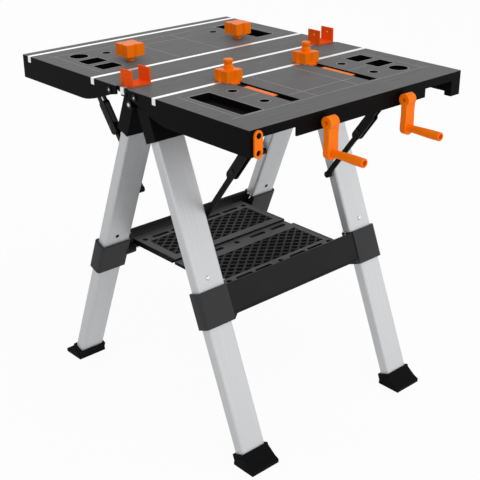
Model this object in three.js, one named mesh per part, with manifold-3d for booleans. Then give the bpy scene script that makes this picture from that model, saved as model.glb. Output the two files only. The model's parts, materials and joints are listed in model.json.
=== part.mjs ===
// Folding workbench: two hinged decks on A-frame legs, with a folding shelf and crank clamps.
// Millimetres, +Z up. The origin is on the floor, under the middle of the whole outline.
import * as THREE from 'three';
import { mergeVertices } from 'three/addons/utils/BufferGeometryUtils.js';
import Module from 'manifold-3d';

const wasm = await Module();
wasm.setup();

// Table
const TABLE_X = 635;
const TABLE_Y = 787;
const TABLE_Z = 806;
const CLEARANCE = 0.3;
const ARC_STEP = Math.PI / 9;
const SMALL_ARC_STEP = Math.PI / 6;
const SMALL_R = 7;
const CURVE_STEPS = 6;
const LATHE_STEPS = 18;
const THROUGH = 2;
const SUNK = 1;

// Deck mouldings
const PLATE = 4;
const SKIRT = 4;
const SKIRT_DEPTH = 54;
const MIDDLE_SKIRT_DEPTH = 38;
const NOTCH_DEPTH = 19;
const MIDDLE_SKIRT_EDGE = 122.5;
const POST_WIDTH = 30.5;
const POST_WEB_DEPTH = 18;
const SKIRT_FLAT_END = 150;
const SKIRT_CURVE_PULL = 30;
const INNER_RIB_DEPTH = 10;
const RIB = 3;
const RIB_DEPTH = 12;
const RIB_FRONT_EDGE = 13.5;
const RIB_BEHIND_STRIP = 16;
const RIB_OUTSIDE_CLAMP = 33;
const RIB_INSIDE_CLAMP = 57;

// Deck recesses
const TRAY_EDGE = 54.5;
const TRAY_WIDTH = 56;
const TRAY_Y = [-314, -150];
const SQUARE_EDGE = 56.5;
const SQUARE_WIDTH = 56;
const SQUARE_Y = [[-190, -147], [-250, -207]];
const OVAL_EDGE = 85.5;
const OVAL_Y = -286;
const OVAL_WIDTH = 44;
const OVAL_LENGTH = 46;
const POCKET_DEPTH = 15;
const POCKET_WALL = 2.2;
const CORNER = 5;

// Bench dogs and their holes
const DOG_HOLE_EDGE = 152.5;
const DOG_HOLE_Y = [176, 272];
const DOG_HOLE_DEPTH = 17;
const DOG_BOSS_WALL = 3;
const PEG_R = 10.5;
const PEG_LENGTH = 22;
const PEG_GROOVE = 1.6;
const PEG_GROOVE_LOW = 10;
const PEG_GROOVE_HIGH = 15;
const DOG_X = 48;
const DOG_Y = 45;
const DOG_HEIGHT = 28;
const DOG_NOTCH = 5;
const DOG_NECK = 12;

// Aluminium strips let into the top
const STRIP_WIDTH = 12;
const STRIP_DEPTH = 15;
const STRIP_INNER_Y = 108;
const STRIP_OUTER_EDGE = 27.5;
const STRIP_CHANNEL_WALL = 3;

// Centre rail and its axle
const RAIL_HALF = 19.5;
const SEAM = 1;
const RAIL_FLANGE = 12;
const RAIL_WEB_HALF = 10;
const RAIL_DEPTH = 20;
const RAIL_END_GAP = 4.5;
const AXLE_DROP = 40;
const AXLE_R = 5;
const AXLE_HEAD_R = 9;
const AXLE_HEAD = 5;
const KNUCKLE_R = 12;
const KNUCKLE_GAP = 2;
const LUG = 9;
const LUG_GAP = 1;

// Legs
const LEG_ANGLE = THREE.MathUtils.degToRad(21.8);
const LEG_EDGE = 71.5;
const LEG_WIDTH = 68;
const LEG_STEP = 8;
const LEG_DEPTH = 28;
const LEG_WALL = 2.2;
const LEG_CORNER = 6;
const LEG_INSET = 6;
const LEG_TOP = 24;
const LEG_END_UP = 12;

// Leg-top caps and the deck pivots
const CAP_WALL = 4;
const CAP_SIDE = 6.5;
const CAP_BOTTOM = 90;
const PIVOT_Y = 44;
const PIVOT_DROP = 13;
const PIVOT_BOSS_R = 8.5;
const PIVOT_EAR_R = 11;
const PIVOT_R = 4;
const PIVOT_HEAD_R = 7;
const PIVOT_HEAD = 2;

// Rubber feet
const FOOT_X = 79;
const FOOT_TOE = 34;
const FOOT_LENGTH = 62;
const FOOT_EDGE = 9;
const FOOT_HEIGHT = 14;
const FOOT_SLOPE = 12;
const FOOT_COLLAR = 4;
const FOOT_GRIP = 12;
const FOOT_RAMP = 16;

// Lower crossbars
const BAR_ABOVE_PIN = 34.4;
const BAR_BELOW_PIN = 35.6;
const BAR_PLATE = 9;
const BAR_SET_BACK = 2;
const BAR_LIP = 4;
const BAR_COLLAR = 6;
const COLLAR_INNER_WALL = 5;
const COLLAR_ABOVE_BAR = 2;
const COLLAR_ROUND = 8;
const COLLAR_GUSSET = 10;
const COLLAR_BELOW_BAR = 10;
const HINGE_LUG = 22;
const HINGE_LUG_R = 11;

// Folding shelf
const SHELF_DROP = 446;
const SHELF_DEPTH = 14;
const SHELF_SKIN = 8;
const SHELF_SIDE_GAP = 4;
const SHELF_TIP = 17;
const SHELF_LIP = 5;
const SHELF_LIP_WIDTH = 12;
const SHELF_BEHIND_PIN = 9;
const SHELF_BORDER = 22;
const SHELF_BAND = 46;
const BAND_SLOT_DEEP = 30;
const BAND_SLOT_PARTS = [0.31, 0.64];
const BAND_HOLE_EDGE = 17;
const BAND_HOLE_R = 7;
const SHELF_EDGE = 10;
const SHELF_PIN_DROP = 22;
const SHELF_PIN_R = 4;
const SHELF_KNUCKLE_R = 7.5;
const SHELF_KNUCKLE_WIDTH = 26;
const SHELF_KNUCKLE_EDGE = 40;
const LATTICE_PITCH_X = 30;
const LATTICE_PITCH_Y = 24;
const LATTICE_BAR = 7;
const LATTICE_EDGE = 20;
const CENTRE_BAR_HALF = 20;
const CENTRE_BAR_GAP = 0.4;
const SHELF_SLOT_LENGTH = 52;
const SHELF_SLOT_WIDTH = 12;
const CENTRE_SLOT_PITCH = 70;

// Folding braces
const BRACE_BESIDE_LEG = 9;
const BRACE_LEG_DOWN = 276;
const BRACE_LEG_OUT = 14;
const BRACE_DECK_Y = 300;
const BRACE_DECK_DROP = 44;
const BRACE_LOWER = 168;
const BRACE_ROD = 6;
const BRACE_ROD_R = 6;
const BRACE_ARM_R = 6.5;
const BRACE_PIN_R = 4;
const BRACE_BOSS_R = 8;
const SLEEVE_WIDTH = 16.5;
const SLEEVE_WALL = 3;
const SLEEVE_R = 11;
const SPACER_R = 3.5;
const SLEEVE_BELOW = 14;
const SLEEVE_ABOVE = 53;
const BRACE_LUG = 6;
const BRACE_LUG_HALF = 12;

// Crank clamps
const CLAMP_EDGE = 200.5;
const SLOT_WIDTH = 24;
const SLOT_FRONT = 313;
const SLOT_BACK = 118;
const SCREW_DROP = 22;
const SCREW_R = 5;
const SCREW_END = 184;
const BUSH_R = 11;
const BUSH_FLANGE_R = 15;
const BUSH_FLANGE = 3.5;
const BUSH_LENGTH = 13;
const SLIDER_FRONT = 253;
const SLIDER_BACK = 163;
const SLIDER_FLANGE = 34;
const SLIDER_FLANGE_DEPTH = 5;
const SLIDER_BELOW_TOP = 2;
const SLIDER_BAR = 15;
const SLIDER_NECK = 16;
const SLIDER_NUT_WIDTH = 28;
const SLIDER_NUT_BELOW = 10;
const SLIDER_NUT_INSET = 8;
const JAW_LIFT = 0.4;
const JAW_Y = 109;
const JAW_WIDTH = 44;
const JAW_LENGTH = 41;
const JAW_HEIGHT = 25;
const HUB_R = 13;
const HUB_SHORT = 5;
const HUB_HOLE_R = 4.5;
const HUB_HOLE = 7;
const HUB_GAP = 0.5;
const ARM_LENGTH = 62;
const ARM_WIDTH = 30;
const ARM_WAIST = 27;
const ARM_END_R = 15;
const ARM_DEPTH = 14;
const GRIP_R = 9.5;
const GRIP_LENGTH = 82;
const GRIP_NECK_R = 7.5;
const GRIP_FLARE = 55;
const GRIP_ROUND = 1.5;
const GRIP_PIN_R = 5;
const GRIP_HOLLOW_R = 6.2;
const GRIP_HOLLOW = 16;

// Latch links on two corner posts
const LATCH_EDGE = 19.5;
const LATCH_PIVOT_DROP = 13;
const LATCH_REACH = 34;
const LATCH_R = 10.5;
const LATCH_THICK = 5;
const LATCH_PIN_R = 5.5;
const LATCH_HOLE_R = 6;

// Beam brackets on the centre rail
const BRACKET_EDGE = 37.5;
const BRACKET_WIDTH = 50;
const BRACKET_LENGTH = 38;
const BRACKET_HEIGHT = 35;
const BRACKET_WALL = 4;
const BRACKET_PEG_R = 3;
const BRACKET_PEG_Y = 13.5;
const BRACKET_PEG = 9;
const BRACKET_HOLE_R = 2.5;
const BRACKET_HOLE_UP = 24;

// Places that follow from the driving sizes
const HALF_X = TABLE_X / 2;
const FRONT_Y = -TABLE_Y / 2;
const DECK_INNER_Y = -(RAIL_HALF + SEAM);
const UNDER_PLATE = TABLE_Z - PLATE;
const MIDDLE_SKIRT_HALF = HALF_X - MIDDLE_SKIRT_EDGE;
const POST_INNER = HALF_X - POST_WIDTH;
const TRAY_X = [TRAY_EDGE - HALF_X, TRAY_EDGE + TRAY_WIDTH - HALF_X];
const SQUARE_X = [HALF_X - SQUARE_EDGE - SQUARE_WIDTH, HALF_X - SQUARE_EDGE];
const OVAL_CENTRE = [HALF_X - OVAL_EDGE, OVAL_Y];
const DOG_HOLE_X = HALF_X - DOG_HOLE_EDGE;
const STRIP_OUTER_Y = TABLE_Y / 2 - STRIP_OUTER_EDGE;
const CLAMP_X = HALF_X - CLAMP_EDGE;
const RIB_X = [CLAMP_X - RIB_INSIDE_CLAMP, CLAMP_X + RIB_OUTSIDE_CLAMP];
const RIB_Y = [FRONT_Y + RIB_FRONT_EDGE, -STRIP_INNER_Y - RIB_BEHIND_STRIP];
const LATCH_X = HALF_X - LATCH_EDGE;
const BRACKET_X = HALF_X - BRACKET_EDGE;
const LEG_X = HALF_X - LEG_EDGE;
const LEG_SPAN = around(LEG_X, LEG_WIDTH);
const WIDE_LEG_SPAN = [LEG_SPAN[0] - LEG_STEP, LEG_SPAN[1]];
const BRACE_X = WIDE_LEG_SPAN[0] - BRACE_BESIDE_LEG;
const SHELF_TOP = TABLE_Z - SHELF_DROP;
const AXLE_Z = TABLE_Z - AXLE_DROP;
const PIVOT_Z = TABLE_Z - PIVOT_DROP;
const SCREW_Z = TABLE_Z - SCREW_DROP;
const LEG_OUTER = LEG_INSET + LEG_DEPTH;
const CAP_X = grown(LEG_SPAN, CAP_SIDE);
const COLLAR_X = grown(LEG_SPAN, BAR_COLLAR);
const BAR_OUTER = LEG_OUTER + BAR_COLLAR;
const LEG_BOTTOM = (AXLE_Z - LEG_END_UP) / Math.cos(LEG_ANGLE);
const FOOT_OUTER = LEG_BOTTOM * Math.sin(LEG_ANGLE) + LEG_OUTER * Math.cos(LEG_ANGLE) + FOOT_TOE;
const FOOT_INNER = FOOT_OUTER - FOOT_LENGTH;
const FOOT_COLLAR_TOP = LEG_BOTTOM - FOOT_GRIP;
const SHELF_HALF_X = COLLAR_X[0] - HINGE_LUG - SHELF_SIDE_GAP;
const SHELF_KNUCKLES = [SHELF_KNUCKLE_EDGE - SHELF_HALF_X, 0, SHELF_HALF_X - SHELF_KNUCKLE_EDGE];
const SHELF_PIN_Z = SHELF_TOP - SHELF_PIN_DROP;
const HUB_Y = FRONT_Y - BUSH_FLANGE - HUB_GAP - HUB_R;
const GRIP_START = HUB_Y - ARM_DEPTH / 2 - HUB_GAP;
const GRIP_END = GRIP_START - GRIP_LENGTH;
const GRIP_Z = SCREW_Z - ARM_LENGTH;
const LATCH_FACE = FRONT_Y - CLEARANCE - LATCH_THICK;
const LATCH_PIN_END = LATCH_FACE - CLEARANCE;
const PEG_BORE_R = PEG_R + CLEARANCE;
const BRACE_SIDE = [BRACE_X - SLEEVE_WIDTH / 2, BRACE_X + SLEEVE_WIDTH / 2];
const BRACE_LUG_X = [BRACE_SIDE[0] - CLEARANCE - BRACE_LUG, BRACE_SIDE[0] - CLEARANCE];

// A place on the front frame, out from the axle plane and down the leg, as world (y, z).
function onLeg(out, down) {
  const c = Math.cos(LEG_ANGLE);
  const s = Math.sin(LEG_ANGLE);
  return [-out * c - down * s, AXLE_Z + out * s - down * c];
}

// A world (y, z) place as tilted-frame (y, z), measured from the axle.
function inFrame([y, z]) {
  const c = Math.cos(LEG_ANGLE);
  const s = Math.sin(LEG_ANGLE);
  const rise = z - AXLE_Z;
  return [y * c - rise * s, y * s + rise * c];
}

const LEG_PIN = onLeg(BRACE_LEG_OUT, BRACE_LEG_DOWN);
const DECK_PIN = [-BRACE_DECK_Y, TABLE_Z - BRACE_DECK_DROP];
const SHELF_PIN_DOWN =
  (AXLE_Z + LEG_INSET * Math.sin(LEG_ANGLE) - SHELF_PIN_Z) / Math.cos(LEG_ANGLE);
const SHELF_PIN = onLeg(LEG_INSET, SHELF_PIN_DOWN);
const BAR_TOP = SHELF_PIN_DOWN - BAR_ABOVE_PIN;
const BAR_BOTTOM = SHELF_PIN_DOWN + BAR_BELOW_PIN;
const COLLAR_TOP = BAR_TOP - COLLAR_ABOVE_BAR;
const COLLAR_BOTTOM = BAR_BOTTOM + COLLAR_BELOW_BAR;

// Solids
function solid(shape) {
  if (!shape.isBufferGeometry) return shape;
  const bare = shape.clone();
  bare.deleteAttribute('normal');
  bare.deleteAttribute('uv');
  const welded = mergeVertices(bare);
  const vertProperties = new Float32Array(welded.attributes.position.array);
  const triVerts = new Uint32Array(welded.index.array);
  return new wasm.Manifold(new wasm.Mesh({ numProp: 3, vertProperties, triVerts }));
}

function join(...shapes) {
  return shapes.map(solid).reduce((whole, next) => whole.add(next));
}

function cut(shape, ...tools) {
  return tools.map(solid).reduce((whole, tool) => whole.subtract(tool), solid(shape));
}

function block([x0, x1], [y0, y1], [z0, z1]) {
  const geometry = new THREE.BoxGeometry(x1 - x0, y1 - y0, z1 - z0);
  return geometry.translate((x0 + x1) / 2, (y0 + y1) / 2, (z0 + z1) / 2);
}

// Extrudes an outline along one axis: (y, z) outlines along x, (x, z) along y, (x, y) along z.
function prism(axis, outline, [from, to]) {
  const options = { depth: to - from, bevelEnabled: false, curveSegments: CURVE_STEPS };
  const geometry = new THREE.ExtrudeGeometry(outline, options);
  const x = new THREE.Vector3(1, 0, 0);
  const y = new THREE.Vector3(0, 1, 0);
  const z = new THREE.Vector3(0, 0, 1);
  const turn = new THREE.Matrix4();
  if (axis === 'x') return geometry.applyMatrix4(turn.makeBasis(y, z, x)).translate(from, 0, 0);
  if (axis === 'z') return geometry.translate(0, 0, from);
  return geometry.applyMatrix4(turn.makeBasis(x, z, y.negate())).translate(0, to, 0);
}

function polygon(points) {
  return new THREE.Shape(points.map(([u, v]) => new THREE.Vector2(u, v)));
}

// Points round part of a circle.
function arc([u, v], radius, from, to) {
  const step = radius > SMALL_R ? ARC_STEP : SMALL_ARC_STEP;
  const steps = Math.round(Math.abs(to - from) / step);
  return Array.from({ length: steps + 1 }, (_, i) => {
    const angle = from + ((to - from) * i) / steps;
    return [u + radius * Math.cos(angle), v + radius * Math.sin(angle)];
  });
}

function disc(centre, radius) {
  return polygon(arc(centre, radius, 0, 2 * Math.PI).slice(1));
}

function rod(axis, centre, radius, range) {
  return prism(axis, disc(centre, radius), range);
}

// The outline round two discs of their own radii.
function strap(first, r0, last, r1) {
  const [du, dv] = [last[0] - first[0], last[1] - first[1]];
  const along = Math.atan2(dv, du);
  const spread = Math.acos((r0 - r1) / Math.hypot(du, dv));
  return polygon([
    ...arc(first, r0, along + spread, along - spread + 2 * Math.PI),
    ...arc(last, r1, along - spread, along + spread),
  ]);
}

function roundedBox([u0, u1], [v0, v1], radius) {
  const quarter = Math.PI / 2;
  const corners = [
    [u1 - radius, v0 + radius], [u1 - radius, v1 - radius],
    [u0 + radius, v1 - radius], [u0 + radius, v0 + radius],
  ];
  return polygon(corners.flatMap((c, i) => arc(c, radius, (i - 1) * quarter, i * quarter)));
}

// A range on the right side of the bench, mirrored for the left.
function sided(side, [near, far]) {
  return side > 0 ? [near, far] : [-far, -near];
}

function around(middle, width) {
  return [middle - width / 2, middle + width / 2];
}

function grown([low, high], by) {
  return [low - by, high + by];
}

const DECK_GREY = { color: 0x6a6a6a, roughness: 0.6, metalness: 0 };
const BLACK_PLASTIC = { color: 0x202020, roughness: 0.55, metalness: 0 };
const CROSSBAR_GREY = { color: 0x3a3a3a, roughness: 0.6, metalness: 0 };
const SHELF_GREY = { color: 0x4c4c4c, roughness: 0.6, metalness: 0 };
const BLACK_RUBBER = { color: 0x141414, roughness: 0.85, metalness: 0 };
const BLACK_STEEL = { color: 0x1b1b1b, roughness: 0.45, metalness: 0.4 };
const ORANGE = { color: 0xf26a12, roughness: 0.45, metalness: 0 };
const ALUMINIUM = { color: 0xc8cacc, roughness: 0.4, metalness: 1 };
const BRIGHT_STEEL = { color: 0xb4b4b4, roughness: 0.3, metalness: 1 };

function piece(name, shape, look) {
  const mesh = solid(shape).getMesh();
  const geometry = new THREE.BufferGeometry();
  geometry.setAttribute('position', new THREE.BufferAttribute(mesh.vertProperties, 3));
  geometry.setIndex(new THREE.BufferAttribute(mesh.triVerts, 1));
  geometry.computeVertexNormals();
  const node = new THREE.Mesh(geometry, new THREE.MeshStandardMaterial(look));
  node.name = name;
  return node;
}

// Centre rail, its strip, the axle bolts and the beam brackets
function centreRail() {
  const end = HALF_X - RAIL_END_GAP;
  const underside = TABLE_Z - RAIL_DEPTH;
  const parts = [
    block([-end, end], [-RAIL_HALF, RAIL_HALF], [TABLE_Z - RAIL_FLANGE, TABLE_Z]),
    block([-end, end], [-RAIL_WEB_HALF, RAIL_WEB_HALF], [underside, TABLE_Z]),
  ];
  const tools = [block([-HALF_X, HALF_X], around(0, STRIP_WIDTH + 2 * CLEARANCE),
    [TABLE_Z - STRIP_DEPTH - CLEARANCE, TABLE_Z + THROUGH])];
  for (const side of [-1, 1]) {
    for (const near of [CAP_X[0] - LUG_GAP - LUG, CAP_X[1] + LUG_GAP]) {
      const span = sided(side, [near, near + LUG]);
      parts.push(rod('x', [0, AXLE_Z], KNUCKLE_R, span));
      parts.push(block(span, [-KNUCKLE_R, KNUCKLE_R], [AXLE_Z, underside + SUNK]));
    }
    tools.push(rod('x', [0, AXLE_Z], AXLE_R + CLEARANCE, sided(side, [0, HALF_X])));
    for (const y of [-BRACKET_PEG_Y, BRACKET_PEG_Y]) {
      const hole = BRACKET_PEG_R + CLEARANCE;
      tools.push(rod('z', [side * BRACKET_X, y], hole, [underside, TABLE_Z + THROUGH]));
    }
  }
  return cut(join(...parts), ...tools);
}

function axleBolt(side) {
  const end = CAP_X[1] + LUG_GAP + LUG + CLEARANCE;
  const shank = rod('x', [0, AXLE_Z], AXLE_R, sided(side, [CAP_X[0] - LUG_GAP - LUG, end]));
  const head = rod('x', [0, AXLE_Z], AXLE_HEAD_R, sided(side, [end, end + AXLE_HEAD]));
  return join(shank, head);
}

function strip(y) {
  return block([-HALF_X, HALF_X], around(y, STRIP_WIDTH), [TABLE_Z - STRIP_DEPTH, TABLE_Z]);
}

function beamBracket(side) {
  const x = side * BRACKET_X;
  const seat = TABLE_Z + CLEARANCE;
  const ends = around(0, BRACKET_LENGTH);
  const parts = [block(around(x, BRACKET_WIDTH), ends, [seat, seat + BRACKET_WALL])];
  const wall = (BRACKET_WIDTH - BRACKET_WALL) / 2;
  for (const flange of [x - wall, x + wall]) {
    parts.push(block(around(flange, BRACKET_WALL), ends, [seat, seat + BRACKET_HEIGHT]));
  }
  for (const y of [-BRACKET_PEG_Y, BRACKET_PEG_Y]) {
    parts.push(rod('z', [x, y], BRACKET_PEG_R, [seat - BRACKET_PEG, seat + BRACKET_WALL / 2]));
  }
  const hole = [0, seat + BRACKET_HOLE_UP];
  return cut(join(...parts), rod('x', hole, BRACKET_HOLE_R, grown(around(x, BRACKET_WIDTH), THROUGH)));
}

// One A-frame, in its own tilted frame: the axle is the origin and the legs run down -Z.
const LEG_Y = [-LEG_OUTER, -LEG_INSET];

function legSpace(side) {
  const along = grown([-LEG_BOTTOM, -LEG_TOP], CLEARANCE);
  return block(sided(side, grown(LEG_SPAN, CLEARANCE)), grown(LEG_Y, CLEARANCE), along);
}

function legTube(across, along) {
  const outline = roundedBox(across, LEG_Y, LEG_CORNER);
  const bore = roundedBox(grown(across, -LEG_WALL), grown(LEG_Y, -LEG_WALL), LEG_CORNER - LEG_WALL);
  outline.holes.push(bore);
  return prism('z', outline, along);
}

// Between its cap and the crossbar's collar, the leg is wider on its inner side.
function leg(side) {
  const inner = WIDE_LEG_SPAN[0];
  const pinHole = rod('x', inFrame(LEG_PIN), BRACE_PIN_R + CLEARANCE,
    sided(side, [inner - THROUGH, inner + LEG_WALL + THROUGH]));
  const tube = legTube(sided(side, LEG_SPAN), [-LEG_BOTTOM, -LEG_TOP]);
  const wide = legTube(sided(side, WIDE_LEG_SPAN), [-COLLAR_TOP + CLEARANCE, -CAP_BOTTOM - CLEARANCE]);
  return cut(join(tube, wide), pinHole);
}

// The caps of the two frames share the axle: one keeps the outer half of it, the other the inner.
function legCap(side, outerKnuckle) {
  const pivot = inFrame([-PIVOT_Y, PIVOT_Z]);
  const span = sided(side, CAP_X);
  const inner = LEG_INSET - CAP_WALL;
  const outer = LEG_OUTER + CAP_WALL;
  const whole = join(
    prism('x', strap([0, 0], KNUCKLE_R, pivot, PIVOT_BOSS_R), span),
    block(span, [-outer, -inner], [-CAP_BOTTOM, 0]),
  );
  const innerHalf = [CAP_X[0] - THROUGH, LEG_X + SEAM / 2];
  const outerHalf = [LEG_X - SEAM / 2, CAP_X[1] + THROUGH];
  const other = outerKnuckle ? innerHalf : outerHalf;
  return cut(
    whole,
    legSpace(side),
    rod('x', [0, 0], KNUCKLE_R + KNUCKLE_GAP, sided(side, other)),
    rod('x', [0, 0], AXLE_R + CLEARANCE, grown(span, THROUGH)),
    rod('x', pivot, PIVOT_R + CLEARANCE, grown(span, THROUGH)),
  );
}

function foot(side) {
  const across = sided(side, around(LEG_X, FOOT_X));
  const profile = polygon([
    [-FOOT_OUTER, 0], [-FOOT_INNER, 0], [-FOOT_INNER, FOOT_EDGE],
    [-FOOT_INNER - FOOT_SLOPE / 2, FOOT_HEIGHT], [-FOOT_OUTER + FOOT_TOE, FOOT_HEIGHT + FOOT_RAMP],
    [-FOOT_OUTER + FOOT_SLOPE, FOOT_HEIGHT], [-FOOT_OUTER, FOOT_EDGE],
  ]);
  const level = (geometry) => geometry.translate(0, 0, -AXLE_Z).rotateX(LEG_ANGLE);
  const collarX = sided(side, grown(LEG_SPAN, FOOT_COLLAR));
  const collar = block(collarX, grown(LEG_Y, FOOT_COLLAR), [-LEG_BOTTOM - FOOT_HEIGHT, -FOOT_COLLAR_TOP]);
  const floor = block(grown(across, FOOT_X), [-TABLE_Y, 0], [-FOOT_X, 0]);
  return cut(join(collar, level(prism('x', profile, across))), legSpace(side), level(floor));
}

// The collar round a leg, with its two outer corners rounded.
function collarOutline(side) {
  const [near, far] = COLLAR_X;
  const front = -BAR_OUTER;
  const back = -LEG_INSET + COLLAR_INNER_WALL;
  const x = far - COLLAR_ROUND;
  const outline = [
    [near, front], ...arc([x, front + COLLAR_ROUND], COLLAR_ROUND, -Math.PI / 2, 0),
    ...arc([x, back - COLLAR_ROUND], COLLAR_ROUND, 0, Math.PI / 2), [near, back],
  ];
  return polygon(outline.map(([u, v]) => [side * u, v]));
}

function crossbar() {
  const reach = COLLAR_X[0] + SUNK;
  const inside = -BAR_OUTER + BAR_PLATE;
  const parts = [
    block([-reach, reach], [-BAR_OUTER + BAR_SET_BACK, inside], [-BAR_BOTTOM, -BAR_TOP]),
    block([-reach, reach], [-BAR_OUTER, inside], [-BAR_BOTTOM, -BAR_BOTTOM + BAR_LIP]),
  ];
  const tools = [];
  for (const side of [-1, 1]) {
    parts.push(prism('z', collarOutline(side), [-COLLAR_BOTTOM, -COLLAR_TOP]));
    const gusset = [
      [reach - SUNK - COLLAR_GUSSET, -BAR_BOTTOM + SUNK], [reach, -COLLAR_BOTTOM],
      [reach, -BAR_BOTTOM + SUNK],
    ];
    const turned = side > 0 ? gusset : gusset.map(([x, z]) => [-x, z]);
    parts.push(prism('y', polygon(turned), [-BAR_OUTER, inside]));
    const lugX = sided(side, [COLLAR_X[0] - HINGE_LUG, reach]);
    parts.push(rod('x', [-LEG_INSET, -SHELF_PIN_DOWN], HINGE_LUG_R, lugX));
    parts.push(block(lugX, [inside - SUNK, -LEG_INSET], around(-SHELF_PIN_DOWN, 2 * HINGE_LUG_R)));
    tools.push(legSpace(side));
  }
  const pin = rod('x', [-LEG_INSET, -SHELF_PIN_DOWN], SHELF_PIN_R + CLEARANCE, [-reach, reach]);
  return cut(join(...parts), pin, ...tools);
}

function shelfPin() {
  const reach = COLLAR_X[0] - CLEARANCE;
  return rod('x', [-LEG_INSET, -SHELF_PIN_DOWN], SHELF_PIN_R, [-reach, reach]);
}

// An oblong slot along x, as the shelf's bands have.
function slotOutline(x, y) {
  const half = (SHELF_SLOT_LENGTH - SHELF_SLOT_WIDTH) / 2;
  return strap([x - half, y], SHELF_SLOT_WIDTH / 2, [x + half, y], SHELF_SLOT_WIDTH / 2);
}

// Shelf half, level, with its knuckles hanging on the crossbar's pin
function shelfHalf() {
  const back = SHELF_PIN[0] - SHELF_BEHIND_PIN;
  const under = SHELF_TOP - SHELF_DEPTH;
  const skin = SHELF_TOP - SHELF_SKIN;
  const wide = [-SHELF_HALF_X, SHELF_HALF_X];
  const deep = [back, -SHELF_TIP];
  const parts = [block(wide, deep, [under, SHELF_TOP])];
  const hollowX = grown(wide, -SHELF_EDGE);
  const lip = [-SHELF_TIP - SHELF_LIP_WIDTH, -SHELF_TIP + THROUGH];
  const tools = [
    block(hollowX, [back + SHELF_BORDER, lip[0] - SHELF_EDGE], [under - THROUGH, skin]),
    block(grown(wide, THROUGH), lip, [under - THROUGH, SHELF_TOP - SHELF_LIP]),
  ];
  for (const x of SHELF_KNUCKLES) {
    const span = around(x, SHELF_KNUCKLE_WIDTH);
    parts.push(rod('x', SHELF_PIN, SHELF_KNUCKLE_R, span));
    parts.push(block(span, around(SHELF_PIN[0], 2 * SHELF_KNUCKLE_R), [SHELF_PIN_Z, under + SUNK]));
  }
  tools.push(rod('x', SHELF_PIN, SHELF_PIN_R + CLEARANCE, wide));
  const through = [under - THROUGH, SHELF_TOP + THROUGH];
  const slotY = back + BAND_SLOT_DEEP;
  for (const x of [-SHELF_HALF_X + BAND_HOLE_EDGE, 0, SHELF_HALF_X - BAND_HOLE_EDGE]) {
    tools.push(rod('z', [x, slotY], BAND_HOLE_R, through));
  }
  for (const x of BAND_SLOT_PARTS.flatMap((part) => [-part * SHELF_HALF_X, part * SHELF_HALF_X])) {
    tools.push(prism('z', slotOutline(x, slotY), through));
  }
  const rows = [back + SHELF_BAND, lip[0] - SHELF_EDGE];
  const columns = grown(wide, -LATTICE_EDGE);
  const field = block(columns, rows, [skin - THROUGH, SHELF_TOP + THROUGH]);
  const gaps = [];
  const countX = Math.floor((columns[1] - columns[0]) / LATTICE_PITCH_X);
  const countY = Math.floor((rows[1] - rows[0]) / LATTICE_PITCH_Y);
  const halfX = (LATTICE_PITCH_X - LATTICE_BAR) / 2;
  const halfY = (LATTICE_PITCH_Y - LATTICE_BAR) / 2;
  for (const between of [0, 1]) {
    for (let i = -1; i <= countX - between; i += 1) {
      for (let j = -1; j <= countY - between; j += 1) {
        const x = (i - (countX - 1 - between) / 2) * LATTICE_PITCH_X;
        const y = (rows[0] + rows[1]) / 2 + (j - (countY - 1 - between) / 2) * LATTICE_PITCH_Y;
        const gap = polygon([[x - halfX, y], [x, y - halfY], [x + halfX, y], [x, y + halfY]]);
        gaps.push(prism('z', gap, [skin - THROUGH, SHELF_TOP + THROUGH]));
      }
    }
  }
  return cut(join(...parts), ...tools, join(...gaps).intersect(solid(field)));
}

function shelfCentreBar() {
  const top = SHELF_TOP - SHELF_LIP - CENTRE_BAR_GAP;
  const wide = [-SHELF_HALF_X, SHELF_HALF_X];
  const bar = block(wide, [-CENTRE_BAR_HALF, CENTRE_BAR_HALF], [SHELF_TOP - SHELF_DEPTH, top]);
  const count = Math.floor((2 * SHELF_HALF_X) / CENTRE_SLOT_PITCH);
  const slots = Array.from({ length: count }, (_, i) => {
    const x = (i - (count - 1) / 2) * CENTRE_SLOT_PITCH;
    const outline = x === 0 ? disc([x, 0], BAND_HOLE_R) : slotOutline(x, 0);
    return prism('z', outline, [SHELF_TOP - SHELF_DEPTH - THROUGH, top + THROUGH]);
  });
  return cut(bar, ...slots);
}

// Deck moulding, as the front one lies; the rear deck is the same turned round
function sideSkirt() {
  const low = TABLE_Z - SKIRT_DEPTH;
  const outline = new THREE.Shape();
  outline.moveTo(FRONT_Y, TABLE_Z);
  outline.lineTo(FRONT_Y, low);
  outline.lineTo(-SKIRT_FLAT_END, low);
  outline.quadraticCurveTo(-SKIRT_FLAT_END + SKIRT_CURVE_PULL, low, -PIVOT_Y, PIVOT_Z - PIVOT_EAR_R);
  outline.lineTo(DECK_INNER_Y, PIVOT_Z - PIVOT_EAR_R / 2);
  outline.lineTo(DECK_INNER_Y, TABLE_Z);
  outline.closePath();
  return outline;
}

function frontSkirt() {
  const post = TABLE_Z - SKIRT_DEPTH;
  const notch = TABLE_Z - NOTCH_DEPTH;
  const middle = TABLE_Z - MIDDLE_SKIRT_DEPTH;
  const right = [
    [MIDDLE_SKIRT_HALF, middle], [MIDDLE_SKIRT_HALF, notch], [POST_INNER, notch],
    [POST_INNER, post], [HALF_X, post], [HALF_X, TABLE_Z],
  ];
  const left = right.map(([x, z]) => [-x, z]).reverse();
  return polygon([...left, ...right]);
}

function pocketOutlines() {
  const squares = SQUARE_Y.map((y) => [SQUARE_X, y, CORNER]);
  const boxes = [[TRAY_X, TRAY_Y, CORNER], ...squares];
  const [x, y] = OVAL_CENTRE;
  return [...boxes, [around(x, OVAL_WIDTH), around(y, OVAL_LENGTH), OVAL_WIDTH / 2 - CLEARANCE]];
}

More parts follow.
